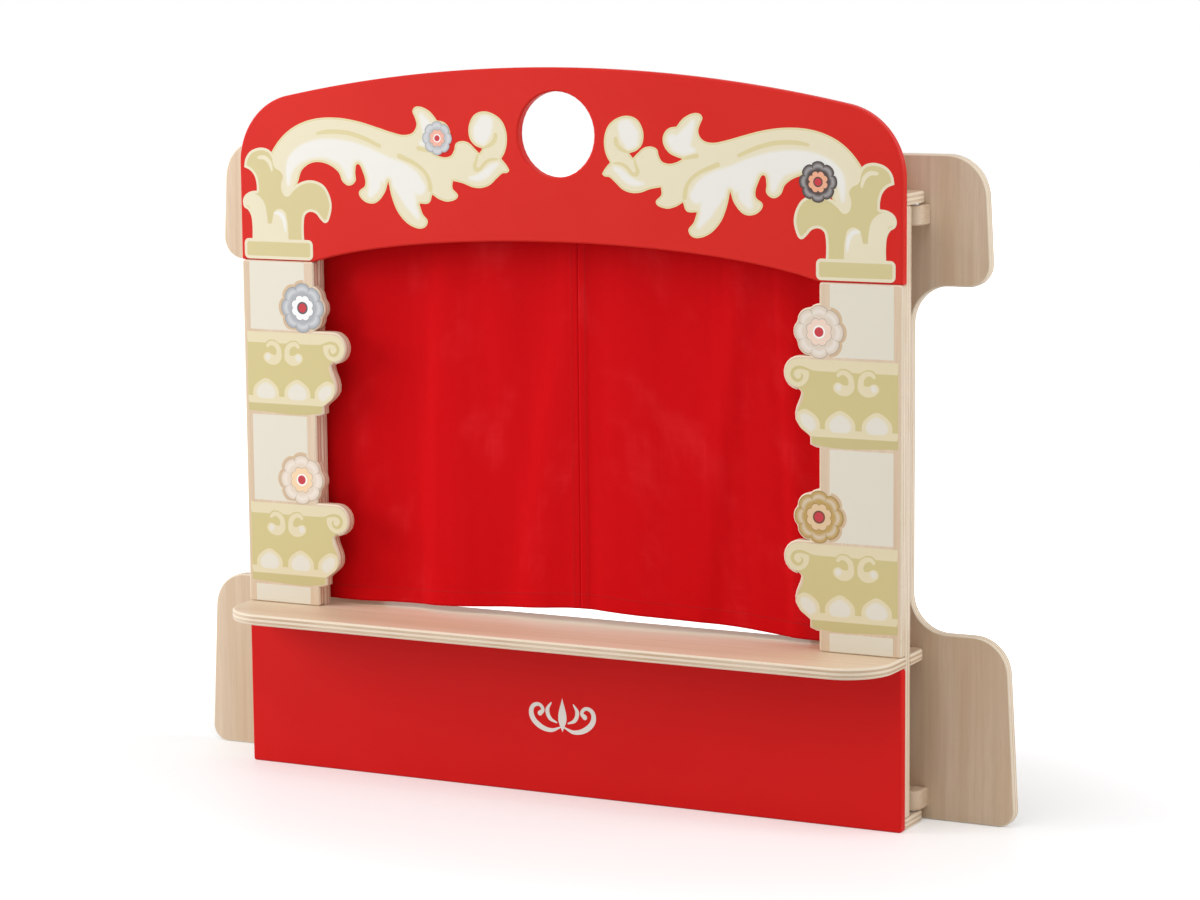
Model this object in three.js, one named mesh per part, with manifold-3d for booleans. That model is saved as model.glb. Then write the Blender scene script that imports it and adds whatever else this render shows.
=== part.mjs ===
// A child's floor puppet theatre in plywood: a red arched header on two posts with small
// balconies, a ledge over a red front board, two swinging side wings and a pair of curtains.
// Millimetres, +Z up. X runs across the stage and Y from the audience to the puppeteers.
import * as THREE from "three";
import { mergeVertices } from "three/addons/utils/BufferGeometryUtils.js";
import Module from "manifold-3d";

const wasm = await Module();
wasm.setup();

// The boards and the frame
const ply = 12; // thickness of every plywood board
const seam = 0.25; // left between boards that are glued or screwed together
const easing = 1.5; // eased edge of a board
const frontWidth = 782.5;
const frameDepth = 65.5; // from the front face to the back edge of both plates and the ledge
const panelHeight = 170; // red board under the ledge
const postWidth = 91.25;
const postHeight = 381; // from the ledge to the joint under the header
const ledgeOverhang = 72; // how far the ledge stands out in front
const ledgeCorner = 52;
const plateCorner = 12; // back corners of the plates and the ledge, round the wing's pivot
const topPlateRise = 78.5; // underside of the top plate above the header's joint

// The header
const headerHeight = 213; // at the middle
const headerArcRadius = 1650;
const headerShoulder = 76; // radius where the top meets the sides
const archRise = 30.5; // stage arch above the header's joint, at the middle
const archHandleShare = 0.55; // of half the stage's width, for the arch's two control points
const peepholeRadius = 45;
const peepholeDrop = 69.7; // its centre below the header's top

// The balconies on the posts, and the round flower that stands on each
const balconyHeight = 93.5;
const balconyReach = 40; // past the post's inner edge
const upperBalconyDrop = 169.5; // foot of the upper balcony below the header's joint
const lowerBalconyRise = 21.5; // foot of the lower balcony above the ledge
const voluteRadius = 17.7;
const balconyRoot = 30; // how far a balcony's outline starts inside its post
const flowerRadius = 29;
const flowerRise = 25; // centre above the balcony's rail
const petals = 8;
const petalNotchShare = 0.13;
const upperLeftFlowerShare = -0.16; // centre from the post's inner edge, of the post's width
const lowerLeftFlowerShare = -0.22;
const rightFlowerShare = 0;

// The wings
const wingRise = 36.5; // top of a wing above the top plate
const footReach = 98.5; // outer edge past the frame's side, at the floor
const earReach = 61.5; // the same at the wing's top
const neckSetback = 18; // outer edge of the neck inside the frame's side
const wingInboard = 131.25; // inner edge inside the frame's side
const footHeight = 197;
const earHeight = 134;
const neckFillet = 40;
const footTopCorner = 40;
const footBottomCorner = 18;
const earTopCorner = 45;
const earBottomCorner = 24;
const wingGap = 2.5; // between the plates' back edge and the wing

// The pivots
const blockHeight = 20.5;
const blockOutset = 2; // block's outer side past the frame's side
const blockGap = 2; // between a block and its plate
const washerRadius = 9;
const washerPlay = 0.25; // above and below a washer
const pinRadius = 4;
const pinFit = 0.15; // radial, in the plate
const pinRunning = 0.25; // radial, in the block and the washer
const pinCover = 3; // wood left past either end of a pin

// The curtain rod, its cleats and the curtains
const rodRadius = 6;
const rodStandOff = 16; // axis behind the uprights
const rodDrop = 30; // axis below the top plate
const rodOverrun = 2; // past each cleat
const cleatThickness = 14;
const cleatInset = 51.25; // outer face inside the frame's side
const cleatHeight = 38;
const cleatBehindRod = 14;
const cleatCorner = 6;
const slotPlay = 0.3; // round the rod in a cleat's slot
const clothThickness = 1.2;
const pocketPlay = 0.6; // between the rod and the pocket sewn round it
const pocketDepth = 26; // back flap below the rod's axis
const pocketTurnShare = 1.15; // of a half turn, that the cloth follows the rod
const curtainSideGap = 2; // from a cleat
const meetingOffset = 8; // where the curtains meet, right of the middle
const meetingGap = 0.6;
const hemClearance = 6; // hem above the ledge at the posts
const hemLift = 10; // more where the curtains meet
const foldDepth = 4;
const foldsInPanel = 3;

// Facets
const cornerSegments = 5;
const headerSegments = 18;
const holeSegments = 20;
const turnedSegments = 28;
const petalSteps = 7;
const foldSteps = 12; // columns of cloth in one fold
const dropSteps = 8; // rows of cloth from the hem to the rod
const pocketSteps = 6; // rows over the rod
const easeSegments = 1;
const cutOverrun = 5;

// Places worked out from the sizes
const halfFront = frontWidth / 2;
const halfStage = halfFront - postWidth;
const ledgeTop = panelHeight + ply;
const headerBottom = ledgeTop + postHeight;
const topPlateBottom = headerBottom + topPlateRise;
const wingTop = topPlateBottom + ply + wingRise;
const uprightFront = ply + seam;
const uprightBack = uprightFront + ply;
const pivotX = halfFront - plateCorner;
const pivotY = frameDepth - plateCorner;
const wingFront = frameDepth + wingGap;
const wingBack = wingFront + ply;
const blockRadius = plateCorner + blockOutset;
const lowerBlockBottom = ply + blockGap;
const upperBlockTop = topPlateBottom - blockGap;
const pinInPlate = ply - pinCover;
const pinInBlock = blockHeight - pinCover;
const rodY = uprightBack + rodStandOff;
const rodZ = topPlateBottom - rodDrop;
const cleatOuter = halfFront - cleatInset;
const cleatInner = cleatOuter - cleatThickness;

const redPaint = () => new THREE.MeshStandardMaterial({ color: 0xd02a26, roughness: 0.45, metalness: 0 });
const birch = () => new THREE.MeshStandardMaterial({ color: 0xe2ceba, roughness: 0.6, metalness: 0 });
const beech = () => new THREE.MeshStandardMaterial({ color: 0xdcc19c, roughness: 0.6, metalness: 0 });
const steel = () => new THREE.MeshStandardMaterial({ color: 0xb9bcc0, roughness: 0.35, metalness: 0.9 });
const redCloth = () => new THREE.MeshStandardMaterial({ color: 0xc81a18, roughness: 0.9, metalness: 0 });

// Turns what is drawn in X and Y and extruded along Z so that it stands up, its depth along Y.
const standUp = new THREE.Matrix4().set(1, 0, 0, 0, 0, 0, -1, 0, 0, 1, 0, 0, 0, 0, 0, 1);

// A three.js geometry as a manifold solid.
function solidOf(geometry) {
  const bare = geometry.clone();
  bare.deleteAttribute("normal");
  bare.deleteAttribute("uv");
  const merged = mergeVertices(bare);
  const vertProperties = merged.attributes.position.array;
  const triVerts = new Uint32Array(merged.index.array);
  return new wasm.Manifold(new wasm.Mesh({ numProp: 3, vertProperties, triVerts }));
}

// A manifold solid as a three.js geometry.
function geometryOf(solid) {
  const mesh = solid.getMesh();
  const geometry = new THREE.BufferGeometry();
  geometry.setAttribute("position", new THREE.BufferAttribute(mesh.vertProperties, 3));
  geometry.setIndex(new THREE.BufferAttribute(mesh.triVerts, 1));
  geometry.computeVertexNormals();
  return geometry;
}

// A closed outline through corners [x, y, radius], each rounded by an arc of its radius.
function roundedOutline(corners) {
  const shape = new THREE.Shape();
  corners.forEach(([x, y, radius], i) => {
    const corner = new THREE.Vector2(x, y);
    const [beforeX, beforeY] = corners[(i + corners.length - 1) % corners.length];
    const [afterX, afterY] = corners[(i + 1) % corners.length];
    const back = new THREE.Vector2(beforeX, beforeY).sub(corner).normalize();
    const on = new THREE.Vector2(afterX, afterY).sub(corner).normalize();
    const halfAngle = Math.acos(THREE.MathUtils.clamp(back.dot(on), -1, 1)) / 2;
    const trim = radius / Math.tan(halfAngle);
    const start = corner.clone().addScaledVector(back, trim);
    if (i === 0) shape.moveTo(start.x, start.y);
    else shape.lineTo(start.x, start.y);
    if (radius > 0) {
      const end = corner.clone().addScaledVector(on, trim);
      const middle = back.clone().add(on).normalize();
      const centre = corner.clone().addScaledVector(middle, radius / Math.sin(halfAngle));
      const from = Math.atan2(start.y - centre.y, start.x - centre.x);
      const to = Math.atan2(end.y - centre.y, end.x - centre.x);
      const clockwise = back.cross(on) > 0;
      shape.absarc(centre.x, centre.y, radius, from, to, clockwise);
    }
  });
  shape.closePath();
  return shape;
}

// A board cut from plywood, lying flat with its underside at Z = 0 and its edges eased.
function flatBoard(shape, thickness, curveSegments) {
  const geometry = new THREE.ExtrudeGeometry(shape, {
    depth: thickness - 2 * easing,
    bevelEnabled: true,
    bevelThickness: easing,
    bevelSize: easing,
    bevelOffset: -easing,
    bevelSegments: easeSegments,
    curveSegments,
  });
  return geometry.translate(0, 0, easing);
}

// The same standing up: drawn in X and Z, with its front face at Y = front.
function standingBoard(shape, front, curveSegments) {
  return flatBoard(shape, ply, curveSegments).applyMatrix4(standUp).translate(0, front + ply, 0);
}

function part(name, geometry, material) {
  const mesh = new THREE.Mesh(geometry, material);
  mesh.name = name;
  return mesh;
}

// The left-hand copy of a piece that is drawn for the right side.
function mirrored(mesh) {
  mesh.scale.x = -1;
  return mesh;
}

function rectangle(x0, x1, y0, y1, radius) {
  return roundedOutline([[x0, y0, radius], [x1, y0, radius], [x1, y1, radius], [x0, y1, radius]]);
}

// A cylinder along Z, from bottom to top.
function roundBar(x, y, bottom, top, radius, segments) {
  const length = top - bottom;
  const bar = new THREE.CylinderGeometry(radius, radius, length, segments);
  return bar.applyMatrix4(standUp).translate(x, y, bottom + length / 2);
}

// Red board under the ledge
function frontPanel() {
  const outline = rectangle(-halfFront, halfFront, 0, panelHeight - seam, easing * 2);
  return part("front_panel", standingBoard(outline, 0, cornerSegments), redPaint());
}

// Arched red board over the stage, with its round peephole
function header() {
  const top = headerBottom + headerHeight;
  const arcCentreZ = top - headerArcRadius;
  const shoulderX = halfFront - headerShoulder;
  const reach = headerArcRadius - headerShoulder;
  const shoulderZ = arcCentreZ + Math.sqrt(reach ** 2 - shoulderX ** 2);
  const lean = Math.asin(shoulderX / reach);
  const archHandle = halfStage * archHandleShare;
  const archHandleZ = headerBottom + archRise * (4 / 3);
  const shape = new THREE.Shape();
  shape.moveTo(halfStage, headerBottom);
  shape.lineTo(halfFront, headerBottom);
  shape.lineTo(halfFront, shoulderZ);
  shape.absarc(shoulderX, shoulderZ, headerShoulder, 0, Math.PI / 2 - lean, false);
  shape.absarc(0, arcCentreZ, headerArcRadius, Math.PI / 2 - lean, Math.PI / 2 + lean, false);
  shape.absarc(-shoulderX, shoulderZ, headerShoulder, Math.PI / 2 + lean, Math.PI, false);
  shape.lineTo(-halfFront, headerBottom);
  shape.lineTo(-halfStage, headerBottom);
  shape.bezierCurveTo(-archHandle, archHandleZ, archHandle, archHandleZ, halfStage, headerBottom);
  const peephole = new THREE.Path();
  peephole.absarc(0, top - peepholeDrop, peepholeRadius, 0, Math.PI * 2, true);
  shape.holes.push(peephole);
  return part("header", standingBoard(shape, 0, headerSegments), redPaint());
}

// A balcony seen from the front on the right post: u runs from the post's inner edge towards
// the stage and v up from the balcony's foot. The bulge's control points are shares of the
// balcony's reach and height.
const mouldingShares = [[0.08, 0], [0.26, 0.03], [0.26, 0.115]];
const bellyShares = [[0.33, 0.16], [0.6, 0.21], [0.67, 0.3]];
const flankShares = [[0.74, 0.42], [0.52, 0.52], [0.51, 0.595]];
const neckShares = [[0.52, 0.62], [0.58, 0.63], [0.62, 0.642]];
function balconyOutline(footZ) {
  const x = (share) => halfStage - share * balconyReach;
  const z = (share) => footZ + share * balconyHeight;
  const voluteX = halfStage - (balconyReach - voluteRadius);
  const voluteZ = footZ + balconyHeight - voluteRadius;
  const throatX = x(neckShares[2][0]);
  const throatZ = z(neckShares[2][1]);
  const lowerAngle = Math.atan2(throatZ - voluteZ, throatX - voluteX);
  const shape = new THREE.Shape();
  shape.moveTo(halfStage + balconyRoot, footZ);
  shape.lineTo(x(mouldingShares[0][0]), z(mouldingShares[0][1]));
  shape.lineTo(x(mouldingShares[1][0]), z(mouldingShares[1][1]));
  shape.lineTo(x(mouldingShares[2][0]), z(mouldingShares[2][1]));
  for (const [first, second, end] of [bellyShares, flankShares, neckShares]) {
    shape.bezierCurveTo(x(first[0]), z(first[1]), x(second[0]), z(second[1]), x(end[0]), z(end[1]));
  }
  shape.absarc(voluteX, voluteZ, voluteRadius, lowerAngle, Math.PI / 2, true);
  shape.lineTo(halfStage + balconyRoot, footZ + balconyHeight);
  shape.closePath();
  return shape;
}

// A round flower with scalloped petals: the radius dips between neighbouring petals.
function flowerOutline(x, z) {
  const steps = petals * petalSteps;
  const points = Array.from({ length: steps }, (_, i) => {
    const turn = (i / steps) * Math.PI * 2;
    const lobe = Math.sqrt(Math.abs(Math.cos((turn * petals) / 2)));
    const radius = flowerRadius * (1 - petalNotchShare * (1 - lobe));
    return new THREE.Vector2(x + radius * Math.cos(turn), z + radius * Math.sin(turn));
  });
  return new THREE.Shape(points);
}

// Front board of a post, one piece with both its balconies and their flowers
function postFront(upperFlowerShare, lowerFlowerShare) {
  const bottom = ledgeTop + seam;
  const post = rectangle(halfStage, halfFront, bottom, headerBottom - seam, easing * 2);
  const footUpper = headerBottom - upperBalconyDrop;
  const footLower = ledgeTop + lowerBalconyRise;
  let solid = solidOf(standingBoard(post, 0, cornerSegments));
  for (const [foot, share] of [[footUpper, upperFlowerShare], [footLower, lowerFlowerShare]]) {
    const flowerX = halfStage - share * postWidth;
    const flowerZ = foot + balconyHeight + flowerRise;
    solid = solid.add(solidOf(standingBoard(balconyOutline(foot), 0, cornerSegments)));
    solid = solid.add(solidOf(standingBoard(flowerOutline(flowerX, flowerZ), 0, 1)));
  }
  return geometryOf(solid);
}

// Board behind each post, from the base plate to the top plate
function upright() {
  const outline = rectangle(halfStage, halfFront, ply + seam, topPlateBottom - seam, easing * 2);
  return standingBoard(outline, uprightFront, cornerSegments);
}

// Stage ledge, notched at both ends for the uprights that pass through it
function ledge() {
  const notchInner = halfStage - seam;
  const notchFront = uprightFront - seam;
  const notchBack = uprightBack + seam;
  const side = (s) => [
    [s * halfFront, -ledgeOverhang, ledgeCorner],
    [s * halfFront, notchFront, 0],
    [s * notchInner, notchFront, 0],
    [s * notchInner, notchBack, 0],
    [s * halfFront, notchBack, 0],
    [s * halfFront, frameDepth, plateCorner],
  ];
  const outline = roundedOutline([...side(1), ...side(-1).reverse()]);
  return part("stage_ledge", flatBoard(outline, ply, cornerSegments).translate(0, 0, panelHeight), birch());
}

// Base or top plate: drilled from drillFrom towards the wood for the two pivot pins
function plate(name, bottom, drillBottom, drillTop) {
  const outline = roundedOutline([
    [-halfFront, uprightFront, easing * 2],
    [halfFront, uprightFront, easing * 2],
    [halfFront, frameDepth, plateCorner],
    [-halfFront, frameDepth, plateCorner],
  ]);
  let solid = solidOf(flatBoard(outline, ply, cornerSegments).translate(0, 0, bottom));
  for (const side of [-1, 1]) {
    const radius = pinRadius + pinFit;
    const hole = roundBar(side * pivotX, pivotY, drillBottom, drillTop, radius, holeSegments);
    solid = solid.subtract(solidOf(hole));
  }
  return part(name, geometryOf(solid), birch());
}

// Side wing: a tapered board with the stage's height cut out of its outer edge
function wing() {
  const taper = (earReach - footReach) / wingTop;
  const outer = (z) => halfFront + footReach + taper * z;
  const neck = halfFront - neckSetback;
  const inner = halfFront - wingInboard;
  const earBottom = wingTop - earHeight;
  const outline = roundedOutline([
    [inner, 0, footBottomCorner],
    [outer(0), 0, footBottomCorner],
    [outer(footHeight), footHeight, footTopCorner],
    [neck, footHeight, neckFillet],
    [neck, earBottom, neckFillet],
    [outer(earBottom), earBottom, earBottomCorner],
    [outer(wingTop), wingTop, earTopCorner],
    [inner, wingTop, footBottomCorner],
  ]);
  return standingBoard(outline, wingFront, cornerSegments + 1);
}

// Pivot block on a wing: square at the wing, half round about its pin, drilled blind
function pivotBlock(bottom, drillBottom, drillTop) {
  const back = wingFront - seam;
  const shape = new THREE.Shape();
  shape.moveTo(pivotX + blockRadius, back);
  shape.lineTo(pivotX - blockRadius, back);
  shape.lineTo(pivotX - blockRadius, pivotY);
  shape.absarc(pivotX, pivotY, blockRadius, Math.PI, Math.PI * 2, false);
  shape.closePath();
  const block = solidOf(flatBoard(shape, blockHeight, cornerSegments + 2).translate(0, 0, bottom));
  const hole = roundBar(pivotX, pivotY, drillBottom, drillTop, pinRadius + pinRunning, holeSegments);
  return geometryOf(block.subtract(solidOf(hole)));
}

function pivotPin(bottom, top) {
  return roundBar(pivotX, pivotY, bottom, top, pinRadius, holeSegments);
}

function washer(bottom) {
  const inner = pinRadius + pinRunning;
  const height = blockGap - 2 * washerPlay;
  const ring = [[inner, 0], [washerRadius, 0], [washerRadius, height], [inner, height], [inner, 0]];
  const profile = ring.map(([r, z]) => new THREE.Vector2(r, z));
  const geometry = new THREE.LatheGeometry(profile, turnedSegments).applyMatrix4(standUp);
  return geometry.translate(pivotX, pivotY, bottom + washerPlay);
}

function curtainRod() {
  const length = 2 * (cleatOuter + rodOverrun);
  const rod = new THREE.CylinderGeometry(rodRadius, rodRadius, length, turnedSegments);
  return part("curtain_rod", rod.rotateZ(Math.PI / 2).translate(0, rodY, rodZ), beech());
}

// Cleat screwed behind an upright, with a slot open at the top for the rod to drop into
function rodCleat() {
  const bottom = rodZ - cleatHeight / 2;
  const top = rodZ + cleatHeight / 2;
  const back = rodY + cleatBehindRod;
  const slotHalf = rodRadius + slotPlay;
  const shape = new THREE.Shape();
  shape.moveTo(uprightBack + seam, bottom);
  shape.lineTo(back - cleatCorner, bottom);
  shape.absarc(back - cleatCorner, bottom + cleatCorner, cleatCorner, -Math.PI / 2, 0, false);
  shape.lineTo(back, top);
  shape.lineTo(rodY + slotHalf, top);
  shape.lineTo(rodY + slotHalf, rodZ);
  shape.absarc(rodY, rodZ, slotHalf, 0, -Math.PI, true);
  shape.lineTo(rodY - slotHalf, top);
  shape.lineTo(uprightBack + seam, top);
  shape.closePath();
  const geometry = new THREE.ExtrudeGeometry(shape, {
    depth: cleatThickness,
    bevelEnabled: false,
    curveSegments: cornerSegments + 2,
  });
  // Drawn in Y and Z: X takes the depth.
  const across = new THREE.Matrix4().set(0, 0, 1, 0, 1, 0, 0, 0, 0, 1, 0, 0, 0, 0, 0, 1);
  return geometry.applyMatrix4(across).translate(cleatInner, 0, 0);
}

// The left curtain, from its outer edge to the meeting edge: a sheet that hangs in soft
// vertical folds from a pocket round the rod. Each row runs across the sheet. The rows go from the
// hem up the front, over the rod and down to the end of the back flap.
function curtain(outerX, meetingX) {
  const pocket = rodRadius + pocketPlay + clothThickness / 2;
  const columns = foldsInPanel * foldSteps;
  const frontRows = Array.from({ length: dropSteps }, (_, i) => ({ rise: i / dropSteps }));
  const overRows = Array.from({ length: pocketSteps + 1 }, (_, i) => ({ turn: i / pocketSteps }));
  const rows = [...frontRows, ...overRows, { flap: 1 }];
  const middle = (row, u) => {
    const hem = ledgeTop + hemClearance + hemLift * u ** 2;
    const fold = (fall) => foldDepth * fall * Math.sin(u * foldsInPanel * Math.PI * 2);
    const x = outerX + (meetingX - outerX) * u;
    if (row.turn !== undefined) {
      const angle = Math.PI * pocketTurnShare * row.turn;
      return new THREE.Vector3(x, rodY - pocket * Math.cos(angle), rodZ + pocket * Math.sin(angle));
    }
    if (row.flap) {
      const behind = clothThickness * 2;
      return new THREE.Vector3(x, rodY - pocket + behind, rodZ - pocketDepth);
    }
    const fall = Math.sin((1 - row.rise) * (Math.PI / 2));
    return new THREE.Vector3(x, rodY - pocket + fold(fall), hem + (rodZ - hem) * row.rise);
  };
  // The cloth's two faces lie half its thickness to either side of the middle surface.
  const faces = rows.map((row, r) => {
    const before = middle(rows[Math.max(r - 1, 0)], 0);
    const after = middle(rows[Math.min(r + 1, rows.length - 1)], 0);
    const along = after.sub(before).normalize();
    const out = new THREE.Vector3(0, -along.z, along.y).multiplyScalar(clothThickness / 2);
    return Array.from({ length: columns + 1 }, (_, c) => {
      const point = middle(row, c / columns);
      return [point.clone().add(out), point.clone().sub(out)];
    });
  });
  const vertices = faces.flat(2).flatMap((v) => [v.x, v.y, v.z]);
  const index = (r, c, side) => (r * (columns + 1) + c) * 2 + side;
  const triangles = [];
  const quad = (a, b, c, d) => triangles.push(a, b, c, a, c, d);
  for (let r = 0; r + 1 < rows.length; r++) {
    for (let c = 0; c < columns; c++) {
      quad(index(r, c, 0), index(r, c + 1, 0), index(r + 1, c + 1, 0), index(r + 1, c, 0));
      quad(index(r, c, 1), index(r + 1, c, 1), index(r + 1, c + 1, 1), index(r, c + 1, 1));
    }
    quad(index(r, 0, 1), index(r, 0, 0), index(r + 1, 0, 0), index(r + 1, 0, 1));
    quad(index(r, columns, 0), index(r, columns, 1), index(r + 1, columns, 1), index(r + 1, columns, 0));
  }
  const last = rows.length - 1;
  for (let c = 0; c < columns; c++) {
    quad(index(0, c, 1), index(0, c + 1, 1), index(0, c + 1, 0), index(0, c, 0));
    quad(index(last, c, 0), index(last, c + 1, 0), index(last, c + 1, 1), index(last, c, 1));
  }
  const geometry = new THREE.BufferGeometry();
  geometry.setAttribute("position", new THREE.Float32BufferAttribute(vertices, 3));
  geometry.setIndex(triangles);
  geometry.computeVertexNormals();
  return geometry;
}

function frame() {
  const group = new THREE.Group();
  group.add(frontPanel(), header(), ledge());
  group.add(part("post_front_right", postFront(rightFlowerShare, rightFlowerShare), birch()));
  group.add(mirrored(part("post_front_left", postFront(upperLeftFlowerShare, lowerLeftFlowerShare), birch())));
  group.add(part("upright_right", upright(), birch()));
  group.add(mirrored(part("upright_left", upright(), birch())));
  group.add(plate("base_plate", 0, ply - pinInPlate, ply + cutOverrun));
  group.add(plate("top_plate", topPlateBottom, topPlateBottom - cutOverrun, topPlateBottom + pinInPlate));
  return group;
}

// What turns on one side: the wing and its two blocks, with the pins and washers that carry it
function wingSet(side) {
  const group = new THREE.Group();
  const lowerTop = lowerBlockBottom + pinInBlock;
  const upperBottom = upperBlockTop - pinInBlock;
  const lowerBlock = pivotBlock(lowerBlockBottom, lowerBlockBottom - cutOverrun, lowerTop + pinFit);
  const upperBlock = pivotBlock(upperBlockTop - blockHeight, upperBottom - pinFit, upperBlockTop + cutOverrun);
  group.add(part(`wing_${side}`, wing(), birch()));
  group.add(part(`lower_pivot_block_${side}`, lowerBlock, beech()));
  group.add(part(`upper_pivot_block_${side}`, upperBlock, beech()));
  group.add(part(`lower_pivot_pin_${side}`, pivotPin(ply - pinInPlate + pinFit, lowerTop - pinFit), steel()));
  const pinTop = topPlateBottom + pinInPlate - pinFit;
  group.add(part(`upper_pivot_pin_${side}`, pivotPin(upperBottom + pinFit, pinTop), steel()));
  group.add(part(`lower_washer_${side}`, washer(ply), steel()));
  group.add(part(`upper_washer_${side}`, washer(upperBlockTop), steel()));
  return group;
}

function curtains() {
  const group = new THREE.Group();
  const outer = cleatInner - curtainSideGap;
  group.add(curtainRod());
  group.add(part("rod_cleat_right", rodCleat(), beech()));
  group.add(mirrored(part("rod_cleat_left", rodCleat(), beech())));
  group.add(part("curtain_left", curtain(-outer, meetingOffset - meetingGap / 2), redCloth()));
  const right = part("curtain_right", curtain(-outer, -meetingOffset - meetingGap / 2), redCloth());
  group.add(mirrored(right));
  return group;
}

const theatre = new THREE.Group();
theatre.add(frame(), wingSet("right"), mirrored(wingSet("left")), curtains());
// The origin is on the floor, in the middle of the width and of the depth.
theatre.position.y = (ledgeOverhang - wingBack) / 2;
export default theatre;
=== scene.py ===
"""Dresses a plywood puppet theatre: finishes for its boards, the ink printed on them, the curtains,
the screws behind and the studio round it. Lengths are metres, or millimetres where a name ends in MM."""
import math

import bpy
import numpy as np
from bpy.props import FloatProperty, FloatVectorProperty, PointerProperty
from mathutils import Matrix, Vector
from mathutils.geometry import delaunay_2d_cdt


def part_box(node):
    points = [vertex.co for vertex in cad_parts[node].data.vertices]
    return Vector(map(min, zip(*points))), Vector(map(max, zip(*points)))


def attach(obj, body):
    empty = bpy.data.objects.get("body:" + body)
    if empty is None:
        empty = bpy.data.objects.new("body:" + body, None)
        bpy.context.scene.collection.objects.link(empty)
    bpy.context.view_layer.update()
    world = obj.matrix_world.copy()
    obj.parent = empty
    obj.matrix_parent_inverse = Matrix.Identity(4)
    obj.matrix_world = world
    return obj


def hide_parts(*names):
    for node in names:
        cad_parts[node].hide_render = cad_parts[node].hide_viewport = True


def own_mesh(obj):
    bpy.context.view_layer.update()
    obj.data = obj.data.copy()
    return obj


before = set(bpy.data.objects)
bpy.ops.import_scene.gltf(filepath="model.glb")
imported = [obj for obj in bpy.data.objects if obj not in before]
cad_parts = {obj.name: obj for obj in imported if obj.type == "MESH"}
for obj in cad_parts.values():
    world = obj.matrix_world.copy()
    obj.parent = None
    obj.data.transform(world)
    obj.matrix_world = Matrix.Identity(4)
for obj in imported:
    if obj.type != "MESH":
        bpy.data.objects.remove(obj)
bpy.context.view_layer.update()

bl_info = {
    "name": "Puppet theatre dressing",
    "version": (1, 0, 0),
    "blender": (4, 5, 0),
    "location": "3D View > Sidebar > Theatre",
    "description": "Finishes, prints, curtains and studio for a plywood puppet theatre",
    "category": "Object",
}

MM = 0.001
SIDES = {"right": 1, "left": -1}
LEVELS = ("lower", "upper")
WINGS = ("wing_right", "wing_left")


def middle_of(node):
    """The middle of a node's box."""
    return tuple((low + high) / 2 for low, high in zip(*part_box(node)))


# Places read from the frame
FRONT_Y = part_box("header")[0].y
HEADER_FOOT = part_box("header")[0].z
HALF_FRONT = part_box("header")[1].x
HALF_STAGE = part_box("upright_right")[0].x
LEDGE_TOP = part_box("stage_ledge")[1].z
UPRIGHT_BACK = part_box("upright_right")[1].y
WING_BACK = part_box("wing_right")[1].y
ROD_Y, ROD_Z = middle_of("curtain_rod")[1:]
ROD_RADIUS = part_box("curtain_rod")[1].z - ROD_Z


def srgb(red, green, blue):
    """A colour given as screen values from 0 to 255, as the linear values that shaders take."""
    screen = np.array([red, green, blue]) / 255
    linear = np.where(screen <= 0.04045, screen / 12.92, ((screen + 0.055) / 1.055) ** 2.4)
    return tuple(float(v) for v in linear)


def dimmed(hue, share):
    """A colour with its linear values multiplied by a share."""
    return tuple(v * share for v in hue)


def colour(label, description, screen):
    shade = srgb(*screen)
    return FloatVectorProperty(
        name=label, description=description, default=shade, size=3, subtype="COLOR", min=0, max=1
    )


def length(label, description, value_mm):
    metres = value_mm * MM
    return FloatProperty(name=label, description=description, default=metres, unit="LENGTH", precision=5)


def power(label, description, watts):
    return FloatProperty(name=label, description=description, default=watts, unit="POWER")


class TheatreFinishes(bpy.types.PropertyGroup):
    """Colours of the wood, paint, ink and cloth."""

    paint: colour("Red paint", "Front board", (213, 15, 14))
    paint_thin: colour("Thin red paint", "The same where the paint lies thinner", (220, 25, 20))
    # The header's red has more green and blue than the front board's: the same red paint with a painted
    # sheen.
    header_paint: colour("Header paint", "Header", (211, 34, 27))
    sheened_header_thin: colour("Thin header paint", "The same where the paint lies thinner", (218, 44, 34))
    birch: colour("Birch face", "Clear-coated birch veneer", (228, 208, 184))
    birch_band: colour("Birch band", "Broad darker bands in the veneer", (211, 183, 150))
    birch_fibre: colour("Birch fibre", "Fine fibres in the veneer", (194, 163, 128))
    ply_long: colour("Ply, long grain", "Plies cut along their grain, on the edges", (234, 218, 195))
    ply_cross: colour("Ply, end grain", "Plies cut across their grain, on the edges", (199, 168, 136))
    beech: colour("Beech", "Pivot blocks, cleats and rod", (226, 206, 182))
    beech_fleck: colour("Beech fleck", "Short flecks in the beech", (196, 164, 130))
    steel: colour("Steel", "Pins, washers and screws", (186, 189, 193))
    cloth: colour("Curtain", "Red cotton", (226, 12, 20))
    # Painted highlight: lighter red where the cloth's threads catch the light.
    cloth_lit_threads: colour("Curtain, lit threads", "Red cotton where its threads catch the light", (245, 50, 56))
    thread: colour("Sewing thread", "Hems and pocket", (176, 16, 20))
    cream: colour("Cream ink", "Main ground of the printed ornament", (231, 222, 193))
    butter: colour("Butter ink", "Outer line of the printed ornament", (228, 216, 168))
    khaki: colour("Khaki ink", "Shaded parts of the printed ornament", (211, 198, 146))
    chalk: colour("Chalk ink", "Lightest parts of the printed ornament", (236, 234, 227))
    panel: colour("Panel ink", "Plain panels on the posts", (228, 222, 206))
    balcony: colour("Balcony ink", "Ground of the balconies' print", (209, 195, 138))
    rail: colour("Rail ink", "Rails, scrolls and window frames of the balconies", (228, 216, 180))
    glass: colour("Window ink", "Windows of the balconies", (230, 225, 212))


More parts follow.
